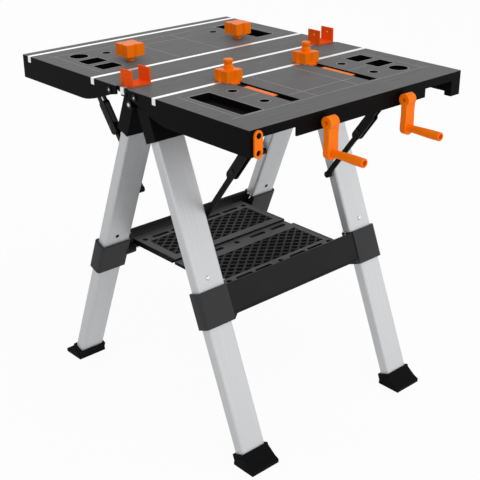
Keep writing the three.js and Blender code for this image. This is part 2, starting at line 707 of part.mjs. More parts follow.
function deck(stripPlaces, hasClamps) {
  const skirtLow = TABLE_Z - SKIRT_DEPTH;
  const wide = [-HALF_X, HALF_X];
  const parts = [
    block(wide, [FRONT_Y, DECK_INNER_Y], [UNDER_PLATE, TABLE_Z]),
    prism('y', frontSkirt(), [FRONT_Y, FRONT_Y + SKIRT]),
    block(wide, [DECK_INNER_Y - SKIRT, DECK_INNER_Y], [TABLE_Z - INNER_RIB_DEPTH, TABLE_Z]),
  ];
  const tools = [];
  const above = TABLE_Z + THROUGH;
  for (const x of [0, ...RIB_X, ...RIB_X.map((place) => -place)]) {
    parts.push(block(around(x, RIB), RIB_Y, [UNDER_PLATE - RIB_DEPTH, TABLE_Z - SUNK]));
  }
  for (const side of [-1, 1]) {
    const edge = sided(side, [HALF_X - SKIRT, HALF_X]);
    parts.push(prism('x', sideSkirt(), edge));
    const web = sided(side, [POST_INNER, POST_INNER + SKIRT]);
    parts.push(block(web, [FRONT_Y, FRONT_Y + POST_WEB_DEPTH], [skirtLow, TABLE_Z - SUNK]));
    tools.push(rod('x', [-PIVOT_Y, PIVOT_Z], PIVOT_R + CLEARANCE, grown(edge, THROUGH)));
    const lug = sided(side, BRACE_LUG_X);
    const lugEnd = DECK_PIN[1] - BRACE_BOSS_R;
    parts.push(block(lug, around(DECK_PIN[0], 2 * BRACE_LUG_HALF), [lugEnd, TABLE_Z - SUNK]));
    tools.push(rod('x', DECK_PIN, BRACE_PIN_R + CLEARANCE, grown(lug, THROUGH)));
    for (const y of DOG_HOLE_Y) {
      const centre = [side * DOG_HOLE_X, -y];
      const bottom = TABLE_Z - DOG_HOLE_DEPTH;
      parts.push(rod('z', centre, PEG_BORE_R + DOG_BOSS_WALL, [bottom - DOG_BOSS_WALL, TABLE_Z - SUNK]));
      tools.push(rod('z', centre, PEG_BORE_R, [bottom, above]));
    }
  }
  for (const [x, y, radius] of pocketOutlines()) {
    const bottom = TABLE_Z - POCKET_DEPTH;
    const outside = roundedBox(grown(x, POCKET_WALL), grown(y, POCKET_WALL), radius + POCKET_WALL);
    parts.push(prism('z', outside, [bottom - POCKET_WALL, TABLE_Z - SUNK]));
    tools.push(prism('z', roundedBox(x, y, radius), [bottom, above]));
  }
  for (const y of stripPlaces) {
    const walls = STRIP_WIDTH + 2 * (CLEARANCE + STRIP_CHANNEL_WALL);
    const floor = TABLE_Z - STRIP_DEPTH - CLEARANCE;
    parts.push(block(wide, around(-y, walls), [floor - STRIP_CHANNEL_WALL, TABLE_Z - SUNK]));
    const channel = around(-y, STRIP_WIDTH + 2 * CLEARANCE);
    tools.push(block(grown(wide, THROUGH), channel, [floor, above]));
  }
  if (hasClamps) {
    for (const side of [-1, 1]) {
      const x = side * CLAMP_X;
      tools.push(block(around(x, SLOT_WIDTH), [-SLOT_FRONT, -SLOT_BACK], [UNDER_PLATE - THROUGH, above]));
      const skirt = grown([FRONT_Y, FRONT_Y + SKIRT], THROUGH);
      tools.push(rod('y', [x, SCREW_Z], BUSH_R + CLEARANCE, skirt));
    }
  }
  const latchPin = [-LATCH_X, TABLE_Z - LATCH_PIVOT_DROP];
  const whole = cut(join(...parts), ...tools);
  return join(whole, rod('y', latchPin, LATCH_PIN_R, [LATCH_PIN_END, FRONT_Y + SKIRT / 2]));
}

function panelPin(side) {
  const face = HALF_X + CLEARANCE;
  const shank = rod('x', [-PIVOT_Y, PIVOT_Z], PIVOT_R, sided(side, [CAP_X[0], face]));
  return join(shank, rod('x', [-PIVOT_Y, PIVOT_Z], PIVOT_HEAD_R, sided(side, [face, face + PIVOT_HEAD])));
}

function latchLink() {
  const pivot = [-LATCH_X, TABLE_Z - LATCH_PIVOT_DROP];
  const far = [-LATCH_X, pivot[1] - LATCH_REACH];
  const link = prism('y', strap(pivot, LATCH_R, far, LATCH_R), [LATCH_FACE, LATCH_FACE + LATCH_THICK]);
  const through = [LATCH_FACE - THROUGH, FRONT_Y + THROUGH];
  return cut(link, rod('y', pivot, LATCH_PIN_R + CLEARANCE, through), rod('y', far, LATCH_HOLE_R, through));
}

// Braces: a rod pinned to the leg folds into a channelled arm pinned under the deck
function alongBrace(distance, outside = 0) {
  const run = [DECK_PIN[0] - LEG_PIN[0], DECK_PIN[1] - LEG_PIN[1]];
  const [y, z] = run.map((d) => d / Math.hypot(...run));
  return [LEG_PIN[0] + y * distance - z * outside, LEG_PIN[1] + z * distance + y * outside];
}

function braceRod(side) {
  const legFace = WIDE_LEG_SPAN[0];
  const across = around(BRACE_X, BRACE_ROD);
  return join(
    prism('x', strap(LEG_PIN, BRACE_ROD_R, alongBrace(BRACE_LOWER), BRACE_ROD_R), sided(side, across)),
    rod('x', LEG_PIN, BRACE_BOSS_R, sided(side, [across[0], legFace - CLEARANCE])),
    rod('x', LEG_PIN, BRACE_PIN_R, sided(side, [across[0], legFace + LEG_WALL])),
  );
}

function braceArm(side) {
  const from = BRACE_LOWER - SLEEVE_BELOW;
  const to = BRACE_LOWER + SLEEVE_ABOVE;
  const spacer = alongBrace(to + SPACER_R, SPACER_R - SLEEVE_R + CLEARANCE);
  const parts = [
    rod('x', spacer, SPACER_R, sided(side, BRACE_SIDE)),
    rod('x', DECK_PIN, BRACE_ARM_R, sided(side, BRACE_SIDE)),
    rod('x', DECK_PIN, BRACE_PIN_R, sided(side, [BRACE_LUG_X[0], BRACE_SIDE[1]])),
  ];
  for (const x of [BRACE_SIDE[0], BRACE_SIDE[1] - SLEEVE_WALL]) {
    const plate = sided(side, [x, x + SLEEVE_WALL]);
    parts.push(prism('x', strap(alongBrace(from), SLEEVE_R, alongBrace(to), SLEEVE_R), plate));
    parts.push(prism('x', strap(alongBrace(to), BRACE_ARM_R, DECK_PIN, BRACE_ARM_R), plate));
  }
  return join(...parts);
}

// Bench dogs: a notched block with a grooved round peg
function dogBlock([x, y], [width, length], [from, to]) {
  const [x0, x1] = around(x, width);
  const [y0, y1] = around(y, length);
  const n = DOG_NOTCH;
  return prism('z', polygon([
    [x0, y0], [x - n, y0], [x, y0 + n], [x + n, y0], [x1, y0], [x1, y - n], [x1 - n, y], [x1, y + n],
    [x1, y1], [x + n, y1], [x, y1 - n], [x - n, y1], [x0, y1], [x0, y + n], [x0 + n, y], [x0, y - n],
  ]), [from, to]);
}

function peg([x, y], base, length) {
  const waist = PEG_R - PEG_GROOVE;
  const profile = [
    [0, 0], [PEG_R, 0], [PEG_R, PEG_GROOVE_LOW - PEG_GROOVE], [waist, PEG_GROOVE_LOW],
    [waist, PEG_GROOVE_HIGH], [PEG_R, PEG_GROOVE_HIGH + PEG_GROOVE], [PEG_R, length - PEG_GROOVE],
    [waist, length], [0, length],
  ].map(([r, z]) => new THREE.Vector2(r, z));
  return new THREE.LatheGeometry(profile, LATHE_STEPS).rotateX(Math.PI / 2).translate(x, y, base);
}

function dog(side) {
  const centre = [side * DOG_HOLE_X, -DOG_HOLE_Y[0]];
  const bottom = TABLE_Z - DOG_HOLE_DEPTH + CLEARANCE;
  const seat = TABLE_Z + DOG_NECK;
  const head = dogBlock(centre, [DOG_X, DOG_Y], [seat, seat + DOG_HEIGHT]);
  return join(rod('z', centre, PEG_R, [bottom, seat + SUNK]), head);
}

// Crank clamps on the front deck
function clampSlider(side) {
  const x = side * CLAMP_X;
  const back = -SLOT_BACK - CLEARANCE;
  const flangeTop = UNDER_PLATE - CLEARANCE;
  const flangeLow = flangeTop - SLIDER_FLANGE_DEPTH;
  const guide = SLOT_WIDTH - 2 * CLEARANCE;
  const nutY = grown([-SLIDER_FRONT, -SLIDER_BACK], -SLIDER_NUT_INSET);
  const whole = join(
    block(around(x, SLIDER_FLANGE), [-SLIDER_FRONT, back], [flangeLow, flangeTop]),
    block(around(x, SLIDER_BAR), [-SLIDER_FRONT, -SLIDER_BACK], [flangeLow, TABLE_Z - SLIDER_BELOW_TOP]),
    block(around(x, guide), [back - SLIDER_NECK, back], [flangeLow, TABLE_Z + JAW_LIFT]),
    block(around(x, SLIDER_NUT_WIDTH), nutY, [SCREW_Z - SLIDER_NUT_BELOW, flangeLow + SUNK]),
  );
  return cut(whole, rod('y', [x, SCREW_Z], SCREW_R + CLEARANCE, [-SLIDER_FRONT, -SLIDER_BACK]));
}

function clampJaw(side) {
  const centre = [side * CLAMP_X, -JAW_Y];
  const seat = TABLE_Z + JAW_LIFT;
  const top = seat + JAW_HEIGHT;
  const head = dogBlock(centre, [JAW_WIDTH, JAW_LENGTH], [seat, top]);
  return join(head, peg(centre, top - SUNK, PEG_LENGTH + SUNK));
}

function screwBush(side) {
  const centre = [side * CLAMP_X, SCREW_Z];
  const flange = rod('y', centre, BUSH_FLANGE_R, [FRONT_Y - BUSH_FLANGE, FRONT_Y]);
  const barrel = rod('y', centre, BUSH_R, [FRONT_Y - SUNK, FRONT_Y - SUNK + BUSH_LENGTH]);
  const through = [FRONT_Y - 2 * BUSH_LENGTH, FRONT_Y + 2 * BUSH_LENGTH];
  return cut(join(flange, barrel), rod('y', centre, SCREW_R + CLEARANCE, through));
}

function leadScrew(side) {
  return rod('y', [side * CLAMP_X, SCREW_Z], SCREW_R, [HUB_Y, -SCREW_END]);
}

function crankArm(side) {
  const x = side * CLAMP_X;
  const half = ARM_WIDTH / 2;
  const waist = SCREW_Z - ARM_LENGTH / 2;
  const outline = polygon([
    [x + half, SCREW_Z], [x - half, SCREW_Z], [x - ARM_WAIST / 2, waist],
    ...arc([x, GRIP_Z], ARM_END_R, Math.PI, 2 * Math.PI), [x + ARM_WAIST / 2, waist],
  ]);
  const whole = join(
    prism('y', outline, around(HUB_Y, ARM_DEPTH)),
    rod('x', [HUB_Y, SCREW_Z], HUB_R, [x - half, x + half - HUB_SHORT]),
    rod('y', [x, GRIP_Z], GRIP_PIN_R, [GRIP_END + GRIP_HOLLOW + CLEARANCE, HUB_Y]),
  );
  const screwBore = rod('y', [x, SCREW_Z], SCREW_R + CLEARANCE, [HUB_Y - CLEARANCE, FRONT_Y]);
  const hubHole = rod('x', [HUB_Y, SCREW_Z], HUB_HOLE_R, [x - half - THROUGH, x - half + HUB_HOLE]);
  return cut(whole, screwBore, hubHole);
}

function crankGrip(side) {
  const bore = GRIP_PIN_R + CLEARANCE;
  const profile = [
    [bore, 0], [GRIP_NECK_R, 0], [GRIP_R, GRIP_FLARE], [GRIP_R, GRIP_LENGTH - GRIP_ROUND],
    [GRIP_R - GRIP_ROUND, GRIP_LENGTH],
    [GRIP_HOLLOW_R, GRIP_LENGTH], [GRIP_HOLLOW_R, GRIP_LENGTH - GRIP_HOLLOW],
    [bore, GRIP_LENGTH - GRIP_HOLLOW], [bore, 0],
  ].map(([r, z]) => new THREE.Vector2(r, z));
  const tube = new THREE.LatheGeometry(profile, LATHE_STEPS);
  return tube.rotateX(Math.PI).translate(side * CLAMP_X, GRIP_START, GRIP_Z);
}

// Assembly
const bench = new THREE.Group();

bench.add(piece('centre_rail', centreRail(), BLACK_PLASTIC));
bench.add(piece('centre_strip', strip(0), ALUMINIUM));

function addHalf(end, turn) {
  const half = new THREE.Group();
  half.rotation.z = turn > 0 ? 0 : Math.PI;
  const frame = new THREE.Group();
  frame.position.z = AXLE_Z;
  frame.rotation.x = -LEG_ANGLE;
  half.add(frame);
  for (const side of [-1, 1]) {
    const hand = side * turn > 0 ? 'right' : 'left';
    frame.add(piece(`${end}_leg_${hand}`, leg(side), ALUMINIUM));
    frame.add(piece(`${end}_leg_cap_${hand}`, legCap(side, turn > 0), BLACK_PLASTIC));
    frame.add(piece(`${end}_foot_${hand}`, foot(side), BLACK_RUBBER));
    half.add(piece(`${end}_panel_pin_${hand}`, panelPin(side), BRIGHT_STEEL));
    half.add(piece(`${end}_brace_rod_${hand}`, braceRod(side), BLACK_STEEL));
    half.add(piece(`${end}_brace_arm_${hand}`, braceArm(side), BLACK_STEEL));
  }
  frame.add(piece(`${end}_crossbar`, crossbar(), CROSSBAR_GREY));
  frame.add(piece(`${end}_shelf_pin`, shelfPin(), BRIGHT_STEEL));
  half.add(piece(`${end}_shelf`, shelfHalf(), SHELF_GREY));
  const strips = turn > 0 ? [STRIP_INNER_Y] : [STRIP_INNER_Y, STRIP_OUTER_Y];
  half.add(piece(`${end}_deck`, deck(strips, turn > 0), DECK_GREY));
  strips.forEach((y, i) => half.add(piece(`${end}_strip_${['inner', 'outer'][i]}`, strip(-y), ALUMINIUM)));
  half.add(piece(`${end}_latch_link`, latchLink(), ORANGE));
  bench.add(half);
  return half;
}

const front = addHalf('front', 1);
const rear = addHalf('rear', -1);

bench.add(piece('shelf_centre_bar', shelfCentreBar(), SHELF_GREY));

for (const side of [-1, 1]) {
  const hand = side > 0 ? 'right' : 'left';
  bench.add(piece(`axle_bolt_${hand}`, axleBolt(side), BRIGHT_STEEL));
  bench.add(piece(`beam_bracket_${hand}`, beamBracket(side), ORANGE));
  front.add(piece(`clamp_slider_${hand}`, clampSlider(side), ORANGE));
  front.add(piece(`clamp_jaw_${hand}`, clampJaw(side), ORANGE));
  front.add(piece(`screw_bush_${hand}`, screwBush(side), BLACK_PLASTIC));
  front.add(piece(`lead_screw_${hand}`, leadScrew(side), BRIGHT_STEEL));
  front.add(piece(`crank_arm_${hand}`, crankArm(side), ORANGE));
  front.add(piece(`crank_grip_${hand}`, crankGrip(side), ORANGE));
  rear.add(piece(`bench_dog_${hand === 'left' ? 'right' : 'left'}`, dog(side), ORANGE));
}

// The crank grips reach further forward than the latch does behind, so the outline is centred.
bench.position.y = -(GRIP_END - LATCH_PIN_END) / 2;

export default bench;
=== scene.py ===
"""Looks of the folding workbench: finishes, eased edges, fasteners, screws, trim, studio and camera."""

import json
import logging
import math
from dataclasses import dataclass
from enum import Enum

import bpy
from mathutils import Matrix, Vector

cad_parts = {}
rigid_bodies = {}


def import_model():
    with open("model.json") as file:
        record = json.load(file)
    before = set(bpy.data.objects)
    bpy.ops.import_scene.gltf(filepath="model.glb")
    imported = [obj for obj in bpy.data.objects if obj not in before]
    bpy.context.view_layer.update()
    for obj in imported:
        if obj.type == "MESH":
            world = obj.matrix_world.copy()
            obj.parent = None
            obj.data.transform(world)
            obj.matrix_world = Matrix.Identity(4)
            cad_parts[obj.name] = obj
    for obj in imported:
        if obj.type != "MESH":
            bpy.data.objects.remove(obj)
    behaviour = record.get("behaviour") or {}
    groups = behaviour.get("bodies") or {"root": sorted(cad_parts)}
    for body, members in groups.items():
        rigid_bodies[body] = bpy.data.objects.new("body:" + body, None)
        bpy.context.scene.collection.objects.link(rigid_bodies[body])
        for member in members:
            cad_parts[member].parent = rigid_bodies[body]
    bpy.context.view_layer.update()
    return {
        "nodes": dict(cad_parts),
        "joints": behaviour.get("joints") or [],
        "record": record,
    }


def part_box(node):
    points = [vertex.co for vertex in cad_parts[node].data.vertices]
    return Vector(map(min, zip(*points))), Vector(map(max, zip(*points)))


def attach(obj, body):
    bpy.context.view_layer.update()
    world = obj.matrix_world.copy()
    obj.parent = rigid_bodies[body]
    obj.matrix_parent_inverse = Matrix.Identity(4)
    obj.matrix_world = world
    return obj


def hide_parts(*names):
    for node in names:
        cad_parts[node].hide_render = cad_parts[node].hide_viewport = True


bpy.data.batch_remove(list(bpy.data.objects))
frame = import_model()

Tree = bpy.types.NodeTree
Socket = bpy.types.NodeSocket

LOG = logging.getLogger("workbench")
MM = 0.001
# Angle between two faces above which their edge stays sharp.
SHARP_ANGLE = math.radians(35)
# Splay of the legs from upright, in degrees.
LEG_ANGLE = 21.8
LEG_COS, LEG_SIN = math.cos(math.radians(LEG_ANGLE)), math.sin(math.radians(LEG_ANGLE))
# Sockets of the colour mix node: the share and the two colours, then the result.
MIX_INPUTS = (0, 6, 7)
MIX_RESULT = 2
# Share of a dome's height that is its upright rim.
DOME_RIM = 0.25
# Shares of a bead's half width and height at its shoulders.
BEAD_SHOULDER = (0.6, 0.8)
# Way along Y of each end of the bench, and along X of each hand.
ENDS = {"front": -1.0, "rear": 1.0}
HANDS = {"left": -1.0, "right": 1.0}
JOINTS = {joint["name"]: joint for joint in frame["joints"]}
AXLE = Vector(JOINTS["front_legs_fold"]["pos_m"])
OPENINGS = {hole["name"]: hole["box_m"] for hole in frame["record"]["physics"]["openings"]}


def linear(code: str) -> tuple[float, float, float, float]:
    """Turns an sRGB hex colour into linear RGBA.

    Args:
        code: Six hex digits after a hash sign.

    Returns:
        The colour in Blender's linear space.
    """
    parts = [int(code[i:i + 2], 16) / 255 for i in (1, 3, 5)]
    red, green, blue = (c / 12.92 if c <= 0.04045 else ((c + 0.055) / 1.055) ** 2.4 for c in parts)
    return red, green, blue, 1.0


def per_metre(millimetres: float) -> float:
    """Gives the texture scale for a feature of that many millimetres."""
    return 1 / (millimetres * MM)


def add(tree: Tree, kind: str, inputs: dict | None = None, **settings: object) -> bpy.types.Node:
    """Adds one node with its settings, values and links.

    Args:
        tree: The tree that gets the node.
        kind: Blender's name for the kind of node.
        inputs: Sockets by name or number, each with a value or the socket that feeds it.
        settings: The node's own properties.

    Returns:
        The new node.
    """
    node = tree.nodes.new(kind)
    for key, value in settings.items():
        setattr(node, key, value)
    for key, value in (inputs or {}).items():
        if isinstance(value, Socket):
            tree.links.new(value, node.inputs[key])
        else:
            node.inputs[key].default_value = value
    return node


def reckon(tree: Tree, operation: str, *values: Socket | float) -> Socket:
    """Adds one step of arithmetic.

    Args:
        tree: The material's nodes.
        operation: Blender's name for the step.
        values: The numbers or sockets that it takes.

    Returns:
        The socket that carries the result.
    """
    return add(tree, "ShaderNodeMath", dict(enumerate(values)), operation=operation).outputs[0]


def noise(tree: Tree, place: Socket, scale: float, detail: float) -> Socket:
    """Adds cloudy noise.

    Args:
        tree: The material's nodes.
        place: The point on the surface.
        scale: Patches in one unit of place.
        detail: Number of finer layers.

    Returns:
        The socket that carries the noise, from 0 to 1.
    """
    inputs = {"Vector": place, "Scale": scale, "Detail": detail}
    return add(tree, "ShaderNodeTexNoise", inputs).outputs[0]


def mixed(tree: Tree, share: Socket, first: str | Socket, second: str | Socket) -> Socket:
    """Mixes two colours, each an sRGB code or a socket.

    Args:
        tree: The material's nodes.
        share: Share of the second colour, from 0 to 1.
        first: The colour where the share is 0.
        second: The colour where the share is 1.

    Returns:
        The socket that carries the mixed colour.
    """
    colours = (linear(colour) if isinstance(colour, str) else colour for colour in (first, second))
    inputs = dict(zip(MIX_INPUTS, (share, *colours)))
    return add(tree, "ShaderNodeMix", inputs, data_type="RGBA").outputs[MIX_RESULT]


def beyond(tree: Tree, place: Socket, axis: str, limit: float) -> Socket:
    """Marks the points that lie further from the bench's middle plane or floor than a limit.

    Args:
        tree: The material's nodes.
        place: The point on the surface, in metres.
        axis: X, Y or Z, where Y counts from the axle.
        limit: The distance in metres.

    Returns:
        The socket that carries 1 beyond the limit and 0 within it.
    """
    along = add(tree, "ShaderNodeSeparateXYZ", {0: place}).outputs[axis]
    start = AXLE.y if axis == "Y" else 0.0
    away = reckon(tree, "ABSOLUTE", reckon(tree, "SUBTRACT", along, start))
    return reckon(tree, "GREATER_THAN", away, limit)


class Sheen(Enum):
    """How much light a plastic or metal surface scatters, as Principled roughness."""

    POLISHED = 0.24
    SATIN = 0.38
    MOULDED = 0.5
    MATTE = 0.62
    DULL = 0.85


@dataclass(frozen=True)
class Moulded:
    """A moulded or coated skin: even colour with cloudy tone and a fine raised grain.

    Attributes:
        name: What the surface is.
        colour: Its main sRGB colour.
        bloom: The paler sRGB colour that the cloudy tone drifts to.
        sheen: How it scatters light.
        ior: Index of refraction of the skin.
        mirror: Share of the mirror light that the grain leaves, where 0.5 is a smooth skin.
        grain: Width of one grain in mm, drawn coarser than the real 0.3 mm so that it shows.
        relief: Height of the grain in mm.
        cloud: Width of the tone's patches in mm.
    """

    name: str
    colour: str
    bloom: str
    sheen: Sheen
    ior: float = 1.5
    mirror: float = 0.09
    grain: float = 1.6
    relief: float = 0.05
    cloud: float = 70.0

    def tone(self, tree: Tree, place: Socket) -> Socket:
        """Builds the colour over the surface.

        Args:
            tree: The material's nodes.
            place: The point on the surface, in metres.

        Returns:
            The socket that carries the colour.
        """
        patches = noise(tree, place, per_metre(self.cloud), detail=6.0)
        return mixed(tree, patches, self.colour, self.bloom)

    def material(self) -> bpy.types.Material:
        """Makes the material from its tone, sheen and grain.

        Returns:
            The new material.
        """
        made = bpy.data.materials.new(self.name)
        made.use_nodes = True
        tree = made.node_tree
        skin = tree.nodes["Principled BSDF"]
        place = add(tree, "ShaderNodeTexCoord").outputs["Object"]
        tree.links.new(self.tone(tree, place), skin.inputs["Base Color"])
        grain = noise(tree, place, per_metre(self.grain), detail=2.0)
        height = {"Height": grain, "Distance": self.relief * MM, "Strength": 1.0}
        tree.links.new(add(tree, "ShaderNodeBump", height).outputs[0], skin.inputs["Normal"])
        skin.inputs["Roughness"].default_value = self.sheen.value
        skin.inputs["IOR"].default_value = self.ior
        skin.inputs["Specular IOR Level"].default_value = self.mirror
        return made


@dataclass(frozen=True)
class StreakedDeck(Moulded):
    """Glass-filled polypropylene: the flow of the melt leaves pale streaks on top, the sides are black.

    Attributes:
        side: The sRGB colour of the sides, trays and underside.
        top: Height of the deck's top in metres.
        streak: Length and width of one streak in mm.
    """

    side: str = "#090909"
    top: float = 0.806
    streak: tuple[float, float] = (90.0, 2.6)

    def tone(self, tree: Tree, place: Socket) -> Socket:
        """Builds streaks along the deck on its top face, and black elsewhere.

        Args:
            tree: The material's nodes.
            place: The point on the surface, in metres.

        Returns:
            The socket that carries the colour.
        """
        length, width = (per_metre(size) for size in self.streak)
        stretched = add(tree, "ShaderNodeMapping", {"Vector": place, "Scale": (length, width, width)})
        streaks = noise(tree, stretched.outputs[0], 1.0, detail=5.0)
        grey = mixed(tree, streaks, self.colour, self.bloom)
        is_top = beyond(tree, place, "Z", self.top - MM / 2)
        return mixed(tree, is_top, self.side, grey)


@dataclass(frozen=True)
class CollaredBar(Moulded):
    """The crossbar's polypropylene, whose collars round the legs catch more light than the beam: they
    are painted paler as a painted highlight.

    Attributes:
        collar_highlight: The sRGB colour of the collars, a painted highlight.
        reach: Distance of the collars from the middle, in metres.
    """

    collar_highlight: str = "#3a3a3a"
    reach: float = 0.206

    def tone(self, tree: Tree, place: Socket) -> Socket:
        """Builds the beam's tone with paler ends, a painted highlight on the collars."""
        # Painted highlight: the collars are paler than the beam.
        is_highlit_collar = beyond(tree, place, "X", self.reach)
        return mixed(tree, is_highlit_collar, super().tone(tree, place), self.collar_highlight)


@dataclass(frozen=True)
class LatticeShelf(Moulded):
    """The shelf's polypropylene: pale flat bands, a darker latticed field and black below its top, both
    painted shade of the deep cells and of the underside.

    Attributes:
        lattice_shade: The sRGB colour of the latticed field, painted shade of its deep cells.
        shade_below: The sRGB colour below the top, painted shade in the holes and under the shelf.
        field: Near end, far end and half width of the latticed field from the axle, in metres.
        top: Height of the shelf's top in metres.
    """

    lattice_shade: str = "#303030"
    shade_below: str = "#080808"
    field: tuple[float, float, float] = (0.039, 0.141, 0.16)
    top: float = 0.36

    def tone(self, tree: Tree, place: Socket) -> Socket:
        """Builds the bands' tone with the latticed field painted darker and black below the top, both
        painted shade.

        Args:
            tree: The material's nodes.
            place: The point on the surface, in metres.

        Returns:
            The socket that carries the colour.
        """
        near, far, half = self.field
        past_end, past_side = beyond(tree, place, "Y", far), beyond(tree, place, "X", half)
        outside = reckon(tree, "MAXIMUM", past_end, past_side)
        # Painted shade: the latticed field is darker and all below the top is black.
        in_lattice_shade = reckon(tree, "GREATER_THAN", beyond(tree, place, "Y", near), outside)
        face = mixed(tree, in_lattice_shade, super().tone(tree, place), self.lattice_shade)
        is_top = beyond(tree, place, "Z", self.top - MM / 2)
        return mixed(tree, is_top, self.shade_below, face)


@dataclass(frozen=True)
class CappedRunner(Moulded):
    """The clamp slider: an orange cap in the slot; all of the slider below the cap is painted black,
    painted shade of the deep slot.

    Attributes:
        slot_shade: The sRGB colour below the cap, painted shade of the slot.
        split: Height of the cap's lower edge in metres.
    """

    slot_shade: str = "#101010"
    split: float = 0.8021

    def tone(self, tree: Tree, place: Socket) -> Socket:
        """Builds the orange cap over black painted shade."""
        # Painted shade: below the cap the slider is black.
        is_cap = beyond(tree, place, "Z", self.split)
        return mixed(tree, is_cap, self.slot_shade, super().tone(tree, place))


@dataclass(frozen=True)
class DrawnMetal:
    """A bare metal drawn or pressed through a die, which leaves fine lines along its length.

    Attributes:
        name: What the metal is.
        colour: sRGB colour of its dull lines.
        bright: sRGB colour of its bright lines.
        sheen: How it scatters light.
        lines: Length and width of one line in mm, wider than the real 0.1 mm so that they show.
        lean: Tilt of the lines' direction from +X about Y, then about X, in degrees.
        metallic: Share of the light that the bare metal sends back. Its skin scatters the rest.
        gloss: Change of the roughness on the dullest and on the brightest line.
    """

    name: str
    colour: str
    bright: str
    sheen: Sheen
    lines: tuple[float, float] = (300.0, 1.8)
    lean: tuple[float, float] = (0.0, 0.0)
    metallic: float = 1.0
    gloss: tuple[float, float] = (-0.06, 0.08)

    def material(self) -> bpy.types.Material:
        """Makes the metal with its lines in colour and gloss.

        Returns:
            The new material.
        """
        made = bpy.data.materials.new(self.name)
        made.use_nodes = True
        tree = made.node_tree
        skin = tree.nodes["Principled BSDF"]
        place = add(tree, "ShaderNodeTexCoord").outputs["Object"]
        about_y, about_x = (math.radians(angle) for angle in self.lean)
        length, width = (per_metre(size) for size in self.lines)
        for step in (
            {"Rotation": (about_x, 0.0, 0.0)},
            {"Rotation": (0.0, about_y, 0.0)},
            {"Scale": (length, width, width)},
        ):
            place = add(tree, "ShaderNodeMapping", {"Vector": place, **step}).outputs[0]
        lines = noise(tree, place, 1.0, detail=4.0)
        tree.links.new(mixed(tree, lines, self.colour, self.bright), skin.inputs["Base Color"])
        low, high = (self.sheen.value + change for change in self.gloss)
        gloss = {"Value": lines, "To Min": low, "To Max": high}
        tree.links.new(add(tree, "ShaderNodeMapRange", gloss).outputs[0], skin.inputs["Roughness"])
        skin.inputs["Metallic"].default_value = self.metallic
        return made


Finish = Moulded | DrawnMetal

# Streaked grey top with a soft reflection, black where the moulding is plain.
DECK = StreakedDeck("glass_filled_polypropylene", "#4e4e4e", "#828282", Sheen.MOULDED, mirror=0.035)
# Polypropylene of the raised beads: paler and smoother than the deck round it.
PALE_BEAD = Moulded("pale_bead_polypropylene", "#8c8c8c", "#a8a8a8", Sheen.MOULDED)
# The shelf's rims, painted a little paler than its bands as a painted highlight on their tops.
SHELF_RIM_HIGHLIGHT = Moulded("shelf_rim_painted_highlight", "#626262", "#7a7a7a", Sheen.MOULDED)
# Black polypropylene: near-black, with a dull broad highlight.
BLACK = Moulded("black_polypropylene", "#0b0b0b", "#121212", Sheen.MOULDED, mirror=0.035)
# Dark polypropylene of the crossbars: a little greyer than the black, with collars painted paler as a
# painted highlight.
BAR = CollaredBar("charcoal_polypropylene", "#1b1b1b", "#242424", Sheen.MOULDED)
# Grey polypropylene of the shelf: paler on its flat bands, with painted shade darkening the latticed
# field and blackening all below the top.
SHELF = LatticeShelf("grey_polypropylene", "#5c5c5c", "#747474", Sheen.MOULDED)
# The same polypropylene on the centre bar, which is flat, with the same painted shade.
SHELF_BAR = LatticeShelf("grey_polypropylene_bar", "#5c5c5c", "#747474", Sheen.MOULDED, top=0.3546)
# Vulcanised rubber: black and dull, with a rough skin.
RUBBER = Moulded("vulcanised_rubber", "#050505", "#0a0a0a", Sheen.DULL, ior=1.52, relief=0.12)
# Powder-coated steel: black, with the low waves of the baked coat.
COATED = Moulded("black_powder_coat", "#0a0a0a", "#141414", Sheen.SATIN, grain=3.0, relief=0.04)
# Moulded ABS: strong orange with a clear soft highlight.
ORANGE = Moulded("orange_abs", "#ff6e00", "#ff8404", Sheen.SATIN, ior=1.53, relief=0.02)
# The same ABS on the slider, painted black below its cap as painted shade of the slot.
RUNNER = CappedRunner("orange_abs_with_slot_shade", "#ff6e00", "#ff8404", Sheen.SATIN, ior=1.53, relief=0.02)
# Painted sheet steel of the beam brackets: a redder orange, with the waves of the baked coat.
PAINTED = Moulded("orange_powder_coat", "#ee4c04", "#fa5e08", Sheen.MATTE, grain=3.0, relief=0.03)
# Anodised extrusion of the legs: white-grey, with lines down it and a film that scatters light.
LEG_METAL = {
    end: DrawnMetal(
        f"anodised_extrusion_{end}", "#b6b7b9", "#d0d1d3", Sheen.MOULDED,
        lean=(90.0, -side * LEG_ANGLE), metallic=0.6,
    )
    for end, side in ENDS.items()
}
# Anodised aluminium strip: brighter and whiter, lines along it.
STRIP_METAL = DrawnMetal("anodised_aluminium", "#dedede", "#eeeeee", Sheen.SATIN)
# Zinc-plated steel: bright and slightly blue, with a sharper reflection.
ZINC = DrawnMetal("zinc_plated_steel", "#b9bcc0", "#d6d9dc", Sheen.POLISHED, lines=(12.0, 1.0))
# Blackened steel of the pivots, bolts and clamp screws: dark grey with a metal's sharper light.
BLACKENED = DrawnMetal("blackened_steel", "#1a1a1b", "#2a2a2b", Sheen.SATIN, lines=(12.0, 1.0))


